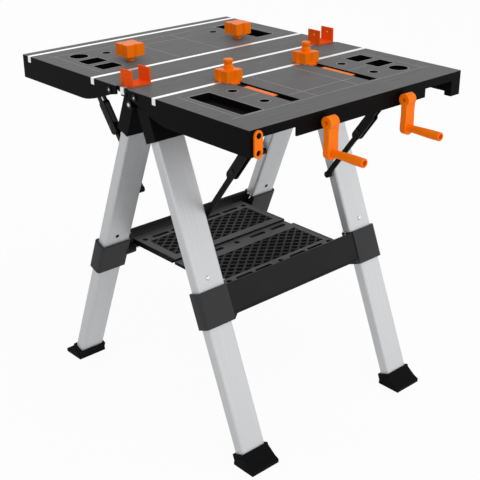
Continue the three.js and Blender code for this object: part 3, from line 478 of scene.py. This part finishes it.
class Workshop:
    """Holds each finish's material once, and puts made meshes into the scene."""

    def __init__(self) -> None:
        """Starts with no material made."""
        self.made: dict[str, bpy.types.Material] = {}

    def material(self, finish: Finish) -> bpy.types.Material:
        """Gives a finish's material, made on first use.

        Args:
            finish: The finish.

        Returns:
            The one material of that finish.
        """
        if finish.name not in self.made:
            self.made[finish.name] = finish.material()
        return self.made[finish.name]

    def piece(
        self, name: str, shape: "Shape", finish: Finish, body: str
    ) -> bpy.types.Object:
        """Puts a mesh into the scene as a piece that rides on a body.

        Args:
            name: The piece's name.
            shape: Its points and faces.
            finish: Its surface.
            body: The CAD body that carries it.

        Returns:
            The new object.
        """
        mesh = bpy.data.meshes.new(name)
        mesh.from_pydata([tuple(point) for point in shape.points], [], shape.faces)
        mesh.validate()
        mesh.shade_smooth()
        mesh.set_sharp_from_angle(angle=SHARP_ANGLE)
        mesh.materials.append(self.material(finish))
        obj = bpy.data.objects.new(name, mesh)
        bpy.context.scene.collection.objects.link(obj)
        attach(obj, body)
        LOG.info("piece %s on %s", name, body)
        return obj


@dataclass
class Shape:
    """Points and faces of a mesh.

    Attributes:
        points: Its corners, in metres.
        faces: Numbers of the corners round each face.
    """

    points: list[Vector]
    faces: list[tuple[int, ...]]

    def placed(self, origin: Vector, axis: Vector) -> "Shape":
        """Moves the shape so that its +Z runs along axis from origin.

        Args:
            origin: Where the shape's own origin goes.
            axis: Where its +Z points.

        Returns:
            The moved shape.
        """
        turn = Matrix.Translation(origin) @ axis.to_track_quat("Z", "Y").to_matrix().to_4x4()
        return Shape([turn @ point for point in self.points], self.faces)

    def joined(self, other: "Shape") -> "Shape":
        """Adds another shape's points and faces to this one's.

        Args:
            other: The shape to add.

        Returns:
            Both as one shape.
        """
        start = len(self.points)
        moved = [tuple(start + i for i in face) for face in other.faces]
        return Shape(self.points + other.points, self.faces + moved)


def skinned(points: list[Vector], around: int) -> Shape:
    """Skins rings of points into a closed shape.

    Args:
        points: The rings one after another, each anticlockwise about the way that they advance.
        around: Points in each ring.

    Returns:
        The closed shape.
    """
    rows = len(points) // around
    faces = [
        (row * around + i, row * around + (i + 1) % around,
         (row + 1) * around + (i + 1) % around, (row + 1) * around + i)
        for row in range(rows - 1) for i in range(around)
    ]
    faces += [tuple(range(around - 1, -1, -1)), tuple(range((rows - 1) * around, rows * around))]
    return Shape(points, faces)


def turned(profile: list[tuple[float, float]], steps: int) -> Shape:
    """Turns a profile round the Z axis.

    Args:
        profile: Radius and height of each ring in mm, from the bottom to the top.
        steps: Points round each ring.

    Returns:
        The closed shape.
    """
    points = [
        Vector((r * math.cos(a), r * math.sin(a), z)) * MM
        for r, z in profile
        for a in (2 * math.pi * i / steps for i in range(steps))
    ]
    return skinned(points, steps)


def wire(path: list[Vector], across: Vector, radius: float, steps: int = 10) -> Shape:
    """Runs a round wire along a path that lies in one plane.

    Args:
        path: Points of its middle line, in metres.
        across: The plane's normal.
        radius: The wire's radius in mm.
        steps: Points round the wire.

    Returns:
        The closed wire.
    """
    points = []
    for i, point in enumerate(path):
        along = (path[min(i + 1, len(path) - 1)] - path[max(i - 1, 0)]).normalized()
        side = across.cross(along)
        for k in range(steps):
            angle = 2 * math.pi * k / steps
            points.append(point + (side * math.cos(angle) + across * math.sin(angle)) * radius * MM)
    return skinned(points, steps)


def dome(radius: float, height: float, rings: int = 6, steps: int = 20) -> Shape:
    """Makes a rivet's low dome on a short rim.

    Args:
        radius: Its radius in mm.
        height: Its height in mm.
        rings: Rings from the rim to the top.
        steps: Points round each ring.

    Returns:
        The closed dome.
    """
    rim = height * DOME_RIM
    quarter = math.pi / 2
    arc = [quarter * i / rings for i in range(rings)]
    curve = [(radius * math.cos(a), rim + (height - rim) * math.sin(a)) for a in arc]
    return turned([(radius, 0.0), *curve], steps)


def bead(path: list[Vector], width: float, height: float, closed: bool) -> Shape:
    """Runs a low rounded bead along a level path.

    Args:
        path: Points of its middle line on the surface, in metres.
        width: Its width in mm.
        height: Its height in mm.
        closed: Whether the last point joins the first.

    Returns:
        The bead.
    """
    half = width / 2 * MM
    out, up = half * BEAD_SHOULDER[0], height * BEAD_SHOULDER[1] * MM
    section = [(-half, 0.0), (-out, up), (0.0, height * MM), (out, up), (half, 0.0)]
    points = []
    for i, point in enumerate(path):
        before = path[i - 1] if closed or i else point
        after = path[(i + 1) % len(path)] if closed or i + 1 < len(path) else point
        along = (after - before).normalized()
        side = Vector((along.y, -along.x, 0.0))
        points += [point + side * across + Vector((0.0, 0.0, rise)) for across, rise in section]
    count = len(section)
    rows = len(path) if closed else len(path) - 1
    faces = []
    for row in range(rows):
        here, there = row * count, ((row + 1) % len(path)) * count
        for k in range(count):
            n = (k + 1) % count
            faces.append((here + k, here + n, there + n, there + k))
    if not closed:
        faces.append(tuple(range(count)))
        faces.append(tuple(range(len(points) - 1, len(points) - count - 1, -1)))
    return Shape(points, faces)


def rounded_loop(low: Vector, high: Vector, radius: float, corner_steps: int = 5) -> list[Vector]:
    """Gives points round a level box with round corners.

    Args:
        low: Its lowest corner.
        high: Its highest corner, at the height of the loop.
        radius: Corner radius in metres.
        corner_steps: Points on each corner.

    Returns:
        The loop, anticlockwise from above.
    """
    centres = [
        (high.x - radius, low.y + radius), (high.x - radius, high.y - radius),
        (low.x + radius, high.y - radius), (low.x + radius, low.y + radius),
    ]
    quarter = math.pi / 2
    return [
        Vector((x + radius * math.cos(a), y + radius * math.sin(a), high.z))
        for corner, (x, y) in enumerate(centres)
        for a in (quarter * (corner - 1 + k / (corner_steps - 1)) for k in range(corner_steps))
    ]


def on_leg(way: float, x: float, out: float, down: float) -> Vector:
    """Gives a point by its place on a leg.

    Args:
        way: The leg's end of the bench, as in ENDS.
        x: Its place across the bench, in mm.
        out: Its distance outward from the axle plane, in mm.
        down: Its distance down the leg from the axle, in mm.

    Returns:
        The point in metres.
    """
    away = (out * LEG_COS + down * LEG_SIN) * MM
    rise = (out * LEG_SIN - down * LEG_COS) * MM
    return AXLE + Vector((x * MM, way * away, rise))


@dataclass
class CadDressing:
    """Puts the finishes on the CAD nodes and eases their hard edges.

    Attributes:
        weld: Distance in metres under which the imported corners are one.
        flat: Angle under which neighbouring triangles are one face.
        ease: Rounding of the edges in mm, by a word in the node's name.
        ease_steps: Faces across a rounded edge.
    """

    weld: float = 1e-5
    flat: float = math.radians(0.6)
    ease: tuple[tuple[str, float], ...] = (
        ("strip", 0.8), ("bracket", 1.0), ("dog", 1.4), ("jaw", 1.4), ("slider", 1.0),
        ("crank_arm", 2.2), ("latch", 1.0), ("crossbar", 2.0), ("foot", 2.4), ("cap", 2.0),
        ("brace_arm", 0.7), ("brace_rod", 0.8), ("rail", 1.0), ("centre_bar", 0.8), ("deck", 0.8),
    )
    ease_steps: int = 2

    def finish_of(self, node: str) -> Finish:
        """Chooses a node's finish by a word in its name, or else by its slot in the record.

        Args:
            node: The node's name.

        Returns:
            The finish.
        """
        slots = {part["node"]: part["material_slot"] for part in frame["record"]["subparts"]}
        by_slot = {
            "deck_grey": DECK, "black_plastic": BLACK, "crossbar_grey": BAR, "shelf_grey": SHELF,
            "foot_rubber": RUBBER, "brace_black": COATED, "orange_plastic": ORANGE, "steel": ZINC,
        }
        special = {
            "slider": RUNNER, "panel_pin": BLACKENED, "axle_bolt": BLACKENED, "bracket": PAINTED,
            "centre_bar": SHELF_BAR, "centre_rail": DECK,
        }
        for word, finish in special.items():
            if word in node:
                return finish
        if slots[node] in by_slot:
            return by_slot[slots[node]]
        return STRIP_METAL if "strip" in node else LEG_METAL[node.split("_")[0]]

    def welded_edges(self) -> bpy.types.GeometryNodeTree:
        """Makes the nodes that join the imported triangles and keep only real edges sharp.

        Returns:
            The group of nodes.
        """
        tree = bpy.data.node_groups.new("welded_edges", "GeometryNodeTree")
        for way in ("INPUT", "OUTPUT"):
            tree.interface.new_socket("Geometry", in_out=way, socket_type="NodeSocketGeometry")
        source = add(tree, "NodeGroupInput").outputs[0]
        welds = {"Geometry": source, "Distance": self.weld}
        merged = add(tree, "GeometryNodeMergeByDistance", welds)
        angle = add(tree, "GeometryNodeInputMeshEdgeAngle")
        limit = {0: angle.outputs[0], 1: SHARP_ANGLE}
        sharp = add(tree, "FunctionNodeCompare", limit, data_type="FLOAT", operation="GREATER_THAN")
        sharpness = {
            "Mesh": merged.outputs[0], "Remove Custom": True, "Edge Sharpness": sharp.outputs[0],
        }
        normals = add(tree, "GeometryNodeSetMeshNormal", sharpness, mode="SHARPNESS")
        add(tree, "NodeGroupOutput", {0: normals.outputs[0]})
        return tree

    def ease_edges(self, node: bpy.types.Object, width: float) -> None:
        """Joins a node's flat faces and rounds its sharp edges.

        Args:
            node: The CAD node.
            width: The rounding in mm.
        """
        flat = node.modifiers.new("flat_faces", "DECIMATE")
        flat.decimate_type = "DISSOLVE"
        flat.angle_limit = self.flat
        eased = node.modifiers.new("eased", "BEVEL")
        eased.width = width * MM
        eased.segments = self.ease_steps
        eased.limit_method = "ANGLE"
        eased.angle_limit = SHARP_ANGLE
        eased.harden_normals = True

    def dress(self, shop: Workshop) -> None:
        """Gives every node its finish, smooth curves and eased edges.

        Args:
            shop: Where the materials are kept.
        """
        welded = self.welded_edges()
        for name, node in frame["nodes"].items():
            node.data.materials.clear()
            node.data.materials.append(shop.material(self.finish_of(name)))
            node.modifiers.new("welded", "NODES").node_group = welded
            width = next((width for word, width in self.ease if word in name), None)
            if width is None:
                node.modifiers.new("flat_light", "WEIGHTED_NORMAL").keep_sharp = True
            else:
                self.ease_edges(node, width)
            LOG.info("node %s", name)


@dataclass
class Fasteners:
    """Rivets, nuts and pin heads that hold the legs, braces and axle.

    Attributes:
        leg_x: Middle of a leg from the bench's middle, in mm.
        leg_outer: Outer face of the legs from the axle plane, in mm.
        leg_depth: Depth of a leg in mm.
        rivet_down: Leg rivet's distance down the leg from the axle, in mm.
        rivet_r: Radius of the leg rivets in mm.
        rivet_rise: Height of a rivet's head, and of the black dome behind the leg that is painted shade
            of the rivet's hole, in mm.
        brace_inner: Inner faces of the lower brace rod, the sleeve and the deck lug, in mm.
        brace_outer: Outer face of the sleeve in mm.
        knee: Distance of the brace's knee from the leg pin, in mm.
        pivot_r: Radius of the brace's pivot heads in mm.
        pivot_rise: Height of those heads in mm.
        flush_rise: Height of the rear knees' outer heads, which pass close to the legs, in mm.
        nut_x: Inner face of the rail's axle lugs in mm.
        nut_r: Corner radius of the axle nuts in mm.
        nut_span: Height of a nut's lower and upper face from the lug, in mm.
        nut_chamfer: Height of a nut's chamfer in mm.
        nut_face: Share of a nut's radius that the chamfer leaves.
        bolt_end: Radius and height of a bolt's end past its nut, in mm.
        bolt_x: Outer face of the axle bolts' heads in mm.
        bolt_rise: Height of the dome on a bolt's head, in mm.
        pivot_end: Radius and height of the bright end of a deck pivot, in mm.
    """

    leg_x: float = 246.0
    leg_outer: float = 34.0
    leg_depth: float = 28.0
    rivet_down: float = 402.0
    rivet_r: float = 5.0
    rivet_rise: tuple[float, float] = (2.4, 0.9)
    brace_inner: tuple[float, float, float] = (192.0, 186.75, 180.45)
    brace_outer: float = 203.25
    knee: float = 168.0
    pivot_r: float = 5.6
    pivot_rise: float = 2.6
    flush_rise: float = 0.5
    nut_x: float = 195.5
    nut_r: float = 9.0
    nut_span: tuple[float, float] = (0.2, 5.5)
    nut_chamfer: float = 1.2
    nut_face: float = 0.86
    bolt_end: tuple[float, float] = (4.6, 2.0)
    bolt_x: float = 301.8
    bolt_rise: float = 2.2
    pivot_end: tuple[float, float] = (2.4, 0.8)

    def leg_rivets(self, shop: Workshop) -> None:
        """Sets a bright domed rivet in the outer face of each leg, and behind it a black dome on the
        inner face as painted shade of the hole.

        Args:
            shop: Where the pieces go.
        """
        head_rise, hole_shade_rise = self.rivet_rise
        for end, way in ENDS.items():
            face = Vector((0.0, way * LEG_COS, LEG_SIN))
            for hand, side in HANDS.items():
                spot = on_leg(way, side * self.leg_x, self.leg_outer, self.rivet_down)
                shape = dome(self.rivet_r, head_rise).placed(spot, face)
                shop.piece(f"{end}_leg_rivet_{hand}", shape, ZINC, f"{end}_frame")
                back = spot - face * self.leg_depth * MM
                # Painted shade: a black rubber dome stands for the dark hole on the leg's inner face.
                hole_shade = dome(self.rivet_r, hole_shade_rise).placed(back, -face)
                shop.piece(f"{end}_leg_plug_{hand}", hole_shade, RUBBER, f"{end}_frame")

    def brace_heads(self, shop: Workshop) -> None:
        """Sets pivot heads at both ends and at the knee of each brace.

        Args:
            shop: Where the pieces go.
        """
        rod, sleeve, lug = self.brace_inner
        for end in ENDS:
            foot = Vector(JOINTS[f"{end}_brace_lower_turn"]["pos_m"])
            top = Vector(JOINTS[f"{end}_brace_upper_turn"]["pos_m"])
            knee = foot + (top - foot).normalized() * self.knee * MM
            for hand, side in HANDS.items():
                inward = Vector((-side, 0.0, 0.0))
                heads = {
                    "leg": (foot, rod, inward, "lower"),
                    "deck": (top, lug, inward, "upper"),
                    "knee_in": (knee, sleeve, inward, "upper"),
                    "knee_out": (knee, self.brace_outer, -inward, "upper"),
                }
                for place, (middle, x, axis, part) in heads.items():
                    spot = Vector((side * x * MM, middle.y, middle.z))
                    near_leg = end == "rear" and place == "knee_out"
                    rise = self.flush_rise if near_leg else self.pivot_rise
                    shape = dome(self.pivot_r, rise).placed(spot, axis)
                    name = f"{end}_brace_{place}_head_{hand}"
                    shop.piece(name, shape, BLACKENED, f"{end}_brace_{part}")

    def axle_nuts(self, shop: Workshop) -> None:
        """Puts a hexagon nut on the inner end of each axle bolt and a dome on its head.

        Args:
            shop: Where the pieces go.
        """
        low, high = self.nut_span
        sides = 6
        profile = [
            (self.nut_r, low), (self.nut_r, high - self.nut_chamfer), (self.nut_r * self.nut_face, high)
        ]
        end = dome(*self.bolt_end).placed(Vector((0.0, 0.0, high * MM)), Vector((0.0, 0.0, 1.0)))
        nut = turned(profile, sides).joined(end)
        for hand, side in HANDS.items():
            outward = Vector((side, 0.0, 0.0))
            on_lug = nut.placed(AXLE + outward * self.nut_x * MM, -outward)
            shop.piece(f"axle_nut_{hand}", on_lug, ZINC, "rail")
            cap = dome(self.nut_r / 2, self.bolt_rise).placed(AXLE + outward * self.bolt_x * MM, outward)
            shop.piece(f"axle_head_{hand}", cap, ZINC, "rail")

    def pivot_centres(self, shop: Workshop) -> None:
        """Leaves the bright riveted end of each deck pivot in its black head.

        Args:
            shop: Where the pieces go.
        """
        for end in ENDS:
            for hand, side in HANDS.items():
                low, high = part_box(f"{end}_panel_pin_{hand}")
                spot = (low + high) / 2
                spot.x = high.x if side > 0 else low.x
                shape = dome(*self.pivot_end).placed(spot, Vector((side, 0.0, 0.0)))
                shop.piece(f"{end}_pivot_end_{hand}", shape, ZINC, f"{end}_frame")

    def build(self, shop: Workshop) -> None:
        """Makes all the fasteners.

        Args:
            shop: Where the pieces go.
        """
        self.leg_rivets(shop)
        self.brace_heads(shop)
        self.axle_nuts(shop)
        self.pivot_centres(shop)


@dataclass
class ClampScrews:
    """The two clamp screws with their trapezoidal thread, and the dark guide walls beside them.

    Attributes:
        pitch: Advance of one turn in mm.
        root: Radius at the root of the thread in mm.
        around: Points round the screw.
        rows: Rows of points in one turn.
        guide: Distance of a guide wall from the screw, its thickness and its depth, in mm.
        guide_top: Height of the guide walls' root in the deck, in metres.
        guide_past: How far the guide walls go on beside the slider at rest, in mm.
    """

    pitch: float = 6.0
    root: float = 3.9
    around: int = 24
    rows: int = 8
    guide: tuple[float, float, float] = (17.4, 1.2, 30.0)
    guide_top: float = 0.8025
    guide_past: float = 20.0

    def radius(self, phase: float, crest: float) -> float:
        """Gives the thread's radius, with a quarter of a turn each for crest, root and both flanks.

        Args:
            phase: Part of the turn, from 0 to 1.
            crest: The thread's outer radius in mm.

        Returns:
            The radius in mm.
        """
        quarters_from_crest = abs(phase - 0.5) * 4
        depth = min(max(quarters_from_crest - 0.5, 0.0), 1.0)
        return crest + (self.root - crest) * depth

    def screw(self, shop: Workshop, hand: str) -> None:
        """Makes one screw in the place of its plain rod.

        Args:
            shop: Where the pieces go.
            hand: The clamp's side, as in HANDS.
        """
        low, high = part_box(f"lead_screw_{hand}")
        middle = (low + high) / 2
        crest = (high.x - low.x) / 2 / MM
        length = (high.y - low.y) / MM
        count = round(length / self.pitch * self.rows)
        points = []
        for row in range(count + 1):
            along = length * row / count
            for i in range(self.around):
                turn = i / self.around
                r = self.radius((along / self.pitch - turn) % 1.0, crest)
                angle = 2 * math.pi * turn
                points.append(Vector((r * math.cos(angle), r * math.sin(angle), along)) * MM)
        start = Vector((middle.x, low.y, middle.z))
        shape = skinned(points, self.around).placed(start, Vector((0.0, 1.0, 0.0)))
        screw = shop.piece(f"threaded_screw_{hand}", shape, BLACKENED, f"crank_{hand}")
        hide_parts(f"lead_screw_{hand}")

    def guides(self, shop: Workshop, hand: str) -> None:
        """Hangs a wall with a rounded lower edge on each side of a slot.

        Args:
            shop: Where the pieces go.
            hand: The clamp's side, as in HANDS.
        """
        low, high = OPENINGS[f"clamp_slot_{hand}"]
        middle = (low[0] + high[0]) / 2
        away, thick, deep = (size * MM for size in self.guide)
        foot = thick / 2 - deep
        outline = [(0.0, 0.0), (thick, 0.0), (thick, foot), (thick / 2, -deep), (0.0, foot)]
        ends = (low[1], high[1] + self.guide_past * MM)
        for side, near in {"inner": middle - away - thick, "outer": middle + away}.items():
            points = [Vector((near + x, y, self.guide_top + z)) for y in ends for x, z in outline]
            shape = skinned(points, len(outline))
            shop.piece(f"clamp_guide_{hand}_{side}", shape, BLACK, "front_panel")

    def build(self, shop: Workshop) -> None:
        """Makes the screws and guide walls of both clamps.

        Args:
            shop: Where the pieces go.
        """
        for hand in HANDS:
            self.screw(shop, hand)
            self.guides(shop, hand)


@dataclass
class ShelfTrim:
    """Raised rims along the shelf's sides, and the spring clips at its hinge pins.

    Attributes:
        rim: Width and height of a rim in mm.
        rim_edge: Distance of the rim's middle from the shelf's side, in mm.
        rim_gap: Distance of the rim's ends from the shelf's ends, in mm.
        clip_x: Middle of a clip from the bench's middle, in mm.
        clip_out: Middle of a clip from the axle plane, in mm.
        clip_down: Middle of a clip down the leg from the axle, in mm.
        clip_r: Radius of a clip's bend in mm.
        clip_wire: Radius of a clip's wire in mm.
        clip_arc: First bearing, end and step of a clip's bend, in degrees from outward.
    """

    rim: tuple[float, float] = (4.0, 1.2)
    rim_edge: float = 3.0
    rim_gap: float = 3.0
    clip_x: float = 197.0
    clip_out: float = 16.0
    clip_down: float = 429.0
    clip_r: float = 8.0
    clip_wire: float = 1.7
    clip_arc: tuple[int, int, int] = (-80, 120, 10)

    def rims(self, shop: Workshop) -> None:
        """Runs a rim along both sides of each shelf half.

        Args:
            shop: Where the pieces go.
        """
        for end in ENDS:
            low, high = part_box(f"{end}_shelf")
            for hand, side in HANDS.items():
                x = side * (high.x - self.rim_edge * MM)
                ends = (low.y + self.rim_gap * MM, high.y - self.rim_gap * MM)
                shape = bead([Vector((x, y, high.z)) for y in ends], *self.rim, closed=False)
                name = f"{end}_shelf_rim_{hand}"
                # The rims' paler colour is a painted highlight.
                shop.piece(name, shape, SHELF_RIM_HIGHLIGHT, f"{end}_shelf_half")

    def clips(self, shop: Workshop) -> None:
        """Bends a spring clip against the inner side of each of the collars.

        Args:
            shop: Where the pieces go.
        """
        angles = [math.radians(bearing) for bearing in range(*self.clip_arc)]
        for end, way in ENDS.items():
            for hand, side in HANDS.items():
                middle = on_leg(way, side * self.clip_x, self.clip_out, self.clip_down)
                bend = [Vector((side * math.cos(a), 0.0, math.sin(a))) for a in angles]
                path = [middle + point * self.clip_r * MM for point in bend]
                shape = wire(path, Vector((0.0, 1.0, 0.0)), self.clip_wire)
                shop.piece(f"{end}_shelf_clip_{hand}", shape, ZINC, f"{end}_frame")

    def build(self, shop: Workshop) -> None:
        """Makes the rims and clips.

        Args:
            shop: Where the pieces go.
        """
        self.rims(shop)
        self.clips(shop)


@dataclass
class DeckTrim:
    """Low beads on the decks: rims round the recesses, and the lines that divide the top.

    Attributes:
        rim: Width and height of a rim in mm.
        line: Width and height of a line in mm.
        grow: How far a square recess's rim lies outside its stated opening, in mm.
        round_grow: How far a round recess's rim lies outside the circle round its opening, in mm.
        corner: Corner radius of a recess in mm.
        grid: Ends of the lines on a deck in mm, as x and y of each from the axle's middle.
    """

    rim: tuple[float, float] = (2.0, 0.5)
    line: tuple[float, float] = (1.6, 0.35)
    grow: float = 3.0
    round_grow: float = 1.6
    corner: float = 6.0
    grid: tuple[tuple[tuple[float, float], tuple[float, float]], ...] = (
        ((-294.0, 319.0), (294.0, 319.0)),
        ((-277.0, 136.0), (-277.0, 317.0)), ((277.0, 136.0), (277.0, 317.0)),
        ((-62.0, 124.0), (-62.0, 317.0)), ((62.0, 124.0), (62.0, 317.0)),
        ((-100.0, 274.0), (100.0, 274.0)),
        ((136.0, 224.0), (194.0, 224.0)), ((-194.0, 224.0), (-136.0, 224.0)),
    )

    def rims(self, shop: Workshop) -> None:
        """Rims the trays and dog holes.

        Args:
            shop: Where the pieces go.
        """
        for name, (low, high) in OPENINGS.items():
            if "tray" not in name and "dog_hole" not in name:
                continue
            end = name.split("_")[0]
            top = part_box(f"{end}_deck")[1].z
            edge = self.grow * MM
            radius = self.corner * MM
            if "dog_hole" in name or "oval" in name:
                half = (high[0] - low[0]) / 2
                radius = half * math.sqrt(2) + self.round_grow * MM
                edge = radius - half
            near = Vector((low[0] - edge, low[1] - edge, top))
            far = Vector((high[0] + edge, high[1] + edge, top))
            loop = rounded_loop(near, far, radius)
            shape = bead(loop, *self.rim, closed=True)
            shop.piece(f"{name}_rim", shape, PALE_BEAD, f"{end}_panel")

    def lines(self, shop: Workshop) -> None:
        """Draws the lines that divide each deck's top.

        Args:
            shop: Where the pieces go.
        """
        for end, way in ENDS.items():
            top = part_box(f"{end}_deck")[1].z
            drawn = Shape([], [])
            for ends in self.grid:
                path = [Vector((x * MM, AXLE.y + way * y * MM, top)) for x, y in ends]
                drawn = drawn.joined(bead(path, *self.line, closed=False))
            shop.piece(f"{end}_deck_lines", drawn, PALE_BEAD, f"{end}_panel")

    def build(self, shop: Workshop) -> None:
        """Makes all the beads.

        Args:
            shop: Where the pieces go.
        """
        self.rims(shop)
        self.lines(shop)


@dataclass
class Studio:
    """White floor and backdrop, soft lamps and the photograph's camera.

    Attributes:
        floor_size: Side of the floor in metres.
        white: How much of the floor's look is its own white, the rest being lit paint.
        sky: Strength of the even light from all round.
        azimuth: Camera's bearing in degrees.
        elevation: Camera's height above the horizon in degrees.
        focal: Focal length in pixels of the photograph.
        side: The photograph's side in pixels.
        eye: The camera's place in mm, from the floor under the middle of the decks.
        off_centre: The lens axis from the middle of the photograph, in pixels.
        sensor: Width of the camera's sensor in mm.
        lamps: Name, place in metres and power in watts of each soft lamp.
        lamp_side: Side of a lamp in metres.
        lamp_aim: Height in metres of the point over the floor's middle that the lamps face.
    """

    floor_size: float = 60.0
    white: float = 0.94
    sky: float = 0.45
    azimuth: float = -42.78
    elevation: float = 24.41
    focal: float = 989.5
    side: float = 480.0
    eye: tuple[float, float, float] = (-1477.25, -1661.66, 1365.2)
    off_centre: tuple[float, float] = (14.8, 1.6)
    sensor: float = 36.0
    lamps: tuple[tuple[str, tuple[float, float, float], float], ...] = (
        ("key_lamp", (-1.6, -3.4, 4.0), 120.0),
        ("fill_lamp", (3.6, -3.4, 2.2), 80.0),
        ("back_lamp", (1.0, 4.4, 3.4), 45.0),
    )
    lamp_side: float = 6.0
    lamp_aim: float = 0.5

    def floor(self) -> None:
        """Lays a white floor that keeps the bench's shadow."""
        half = self.floor_size / 2
        mesh = bpy.data.meshes.new("floor")
        corners = [(-half, -half, 0.0), (half, -half, 0.0), (half, half, 0.0), (-half, half, 0.0)]
        mesh.from_pydata(corners, [], [(0, 1, 2, 3)])
        paint = bpy.data.materials.new("white_paper")
        paint.use_nodes = True
        tree = paint.node_tree
        skin = tree.nodes["Principled BSDF"]
        skin.inputs["Base Color"].default_value = linear("#fafafa")
        skin.inputs["Roughness"].default_value = Sheen.DULL.value
        glow = add(tree, "ShaderNodeEmission", {"Color": linear("#ffffff"), "Strength": 1.0})
        share = reckon(tree, "MULTIPLY", self.seen(tree), self.white)
        both = add(tree, "ShaderNodeMixShader", {0: share, 1: skin.outputs[0], 2: glow.outputs[0]})
        tree.links.new(both.outputs[0], tree.nodes["Material Output"].inputs["Surface"])
        mesh.materials.append(paint)
        obj = bpy.data.objects.new("floor", mesh)
        bpy.context.scene.collection.objects.link(obj)

    def seen(self, tree: Tree) -> Socket:
        """Tells light that goes to the camera straight, by a mirror or through glass.

        Args:
            tree: The material's or the world's nodes.

        Returns:
            The socket that carries 1 for that light and 0 for any other.
        """
        path = add(tree, "ShaderNodeLightPath")
        straight, mirrored, through = (
            path.outputs[f"Is {kind} Ray"] for kind in ("Camera", "Glossy", "Transmission")
        )
        return reckon(tree, "MAXIMUM", reckon(tree, "MAXIMUM", straight, mirrored), through)

    def world(self) -> None:
        """Sets an even pale light all round that the camera sees as white."""
        sky = bpy.data.worlds.new("studio")
        sky.use_nodes = True
        bpy.context.scene.world = sky
        tree = sky.node_tree
        levels = {"Value": self.seen(tree), "To Min": self.sky, "To Max": 1.0}
        strength = add(tree, "ShaderNodeMapRange", levels).outputs[0]
        backdrop = tree.nodes["Background"]
        backdrop.inputs["Color"].default_value = linear("#ffffff")
        tree.links.new(strength, backdrop.inputs["Strength"])

    def hang_lamps(self) -> None:
        """Hangs the soft square lamps."""
        aim = Vector((0.0, 0.0, self.lamp_aim))
        for name, place, power in self.lamps:
            light = bpy.data.lights.new(name, "AREA")
            light.size = self.lamp_side
            light.energy = power
            obj = bpy.data.objects.new(name, light)
            obj.location = place
            obj.rotation_euler = (aim - Vector(place)).to_track_quat("-Z", "Y").to_euler()
            bpy.context.scene.collection.objects.link(obj)

    def camera(self) -> None:
        """Sets the camera where the photograph was taken from."""
        lens = bpy.data.cameras.new("photo_camera")
        lens.sensor_width = self.sensor
        lens.sensor_fit = "HORIZONTAL"
        lens.lens = self.focal / self.side * self.sensor
        lens.shift_x = -self.off_centre[0] / self.side
        lens.shift_y = self.off_centre[1] / self.side
        obj = bpy.data.objects.new("photo_camera", lens)
        obj.location = Vector(self.eye) * MM + Vector((0.0, AXLE.y, 0.0))
        obj.rotation_euler = (math.radians(90 - self.elevation), 0.0, math.radians(self.azimuth))
        bpy.context.scene.collection.objects.link(obj)
        bpy.context.scene.camera = obj

    def build(self) -> None:
        """Sets up the floor, light and camera."""
        bpy.context.scene.view_settings.view_transform = "Standard"
        self.floor()
        self.world()
        self.hang_lamps()
        self.camera()


def main() -> None:
    """Dresses the bench and sets up the studio."""
    logging.basicConfig(level=logging.INFO, format="%(message)s")
    shop = Workshop()
    CadDressing().dress(shop)
    Fasteners().build(shop)
    ClampScrews().build(shop)
    ShelfTrim().build(shop)
    DeckTrim().build(shop)
    Studio().build()


if __name__ == "__main__":
    main()
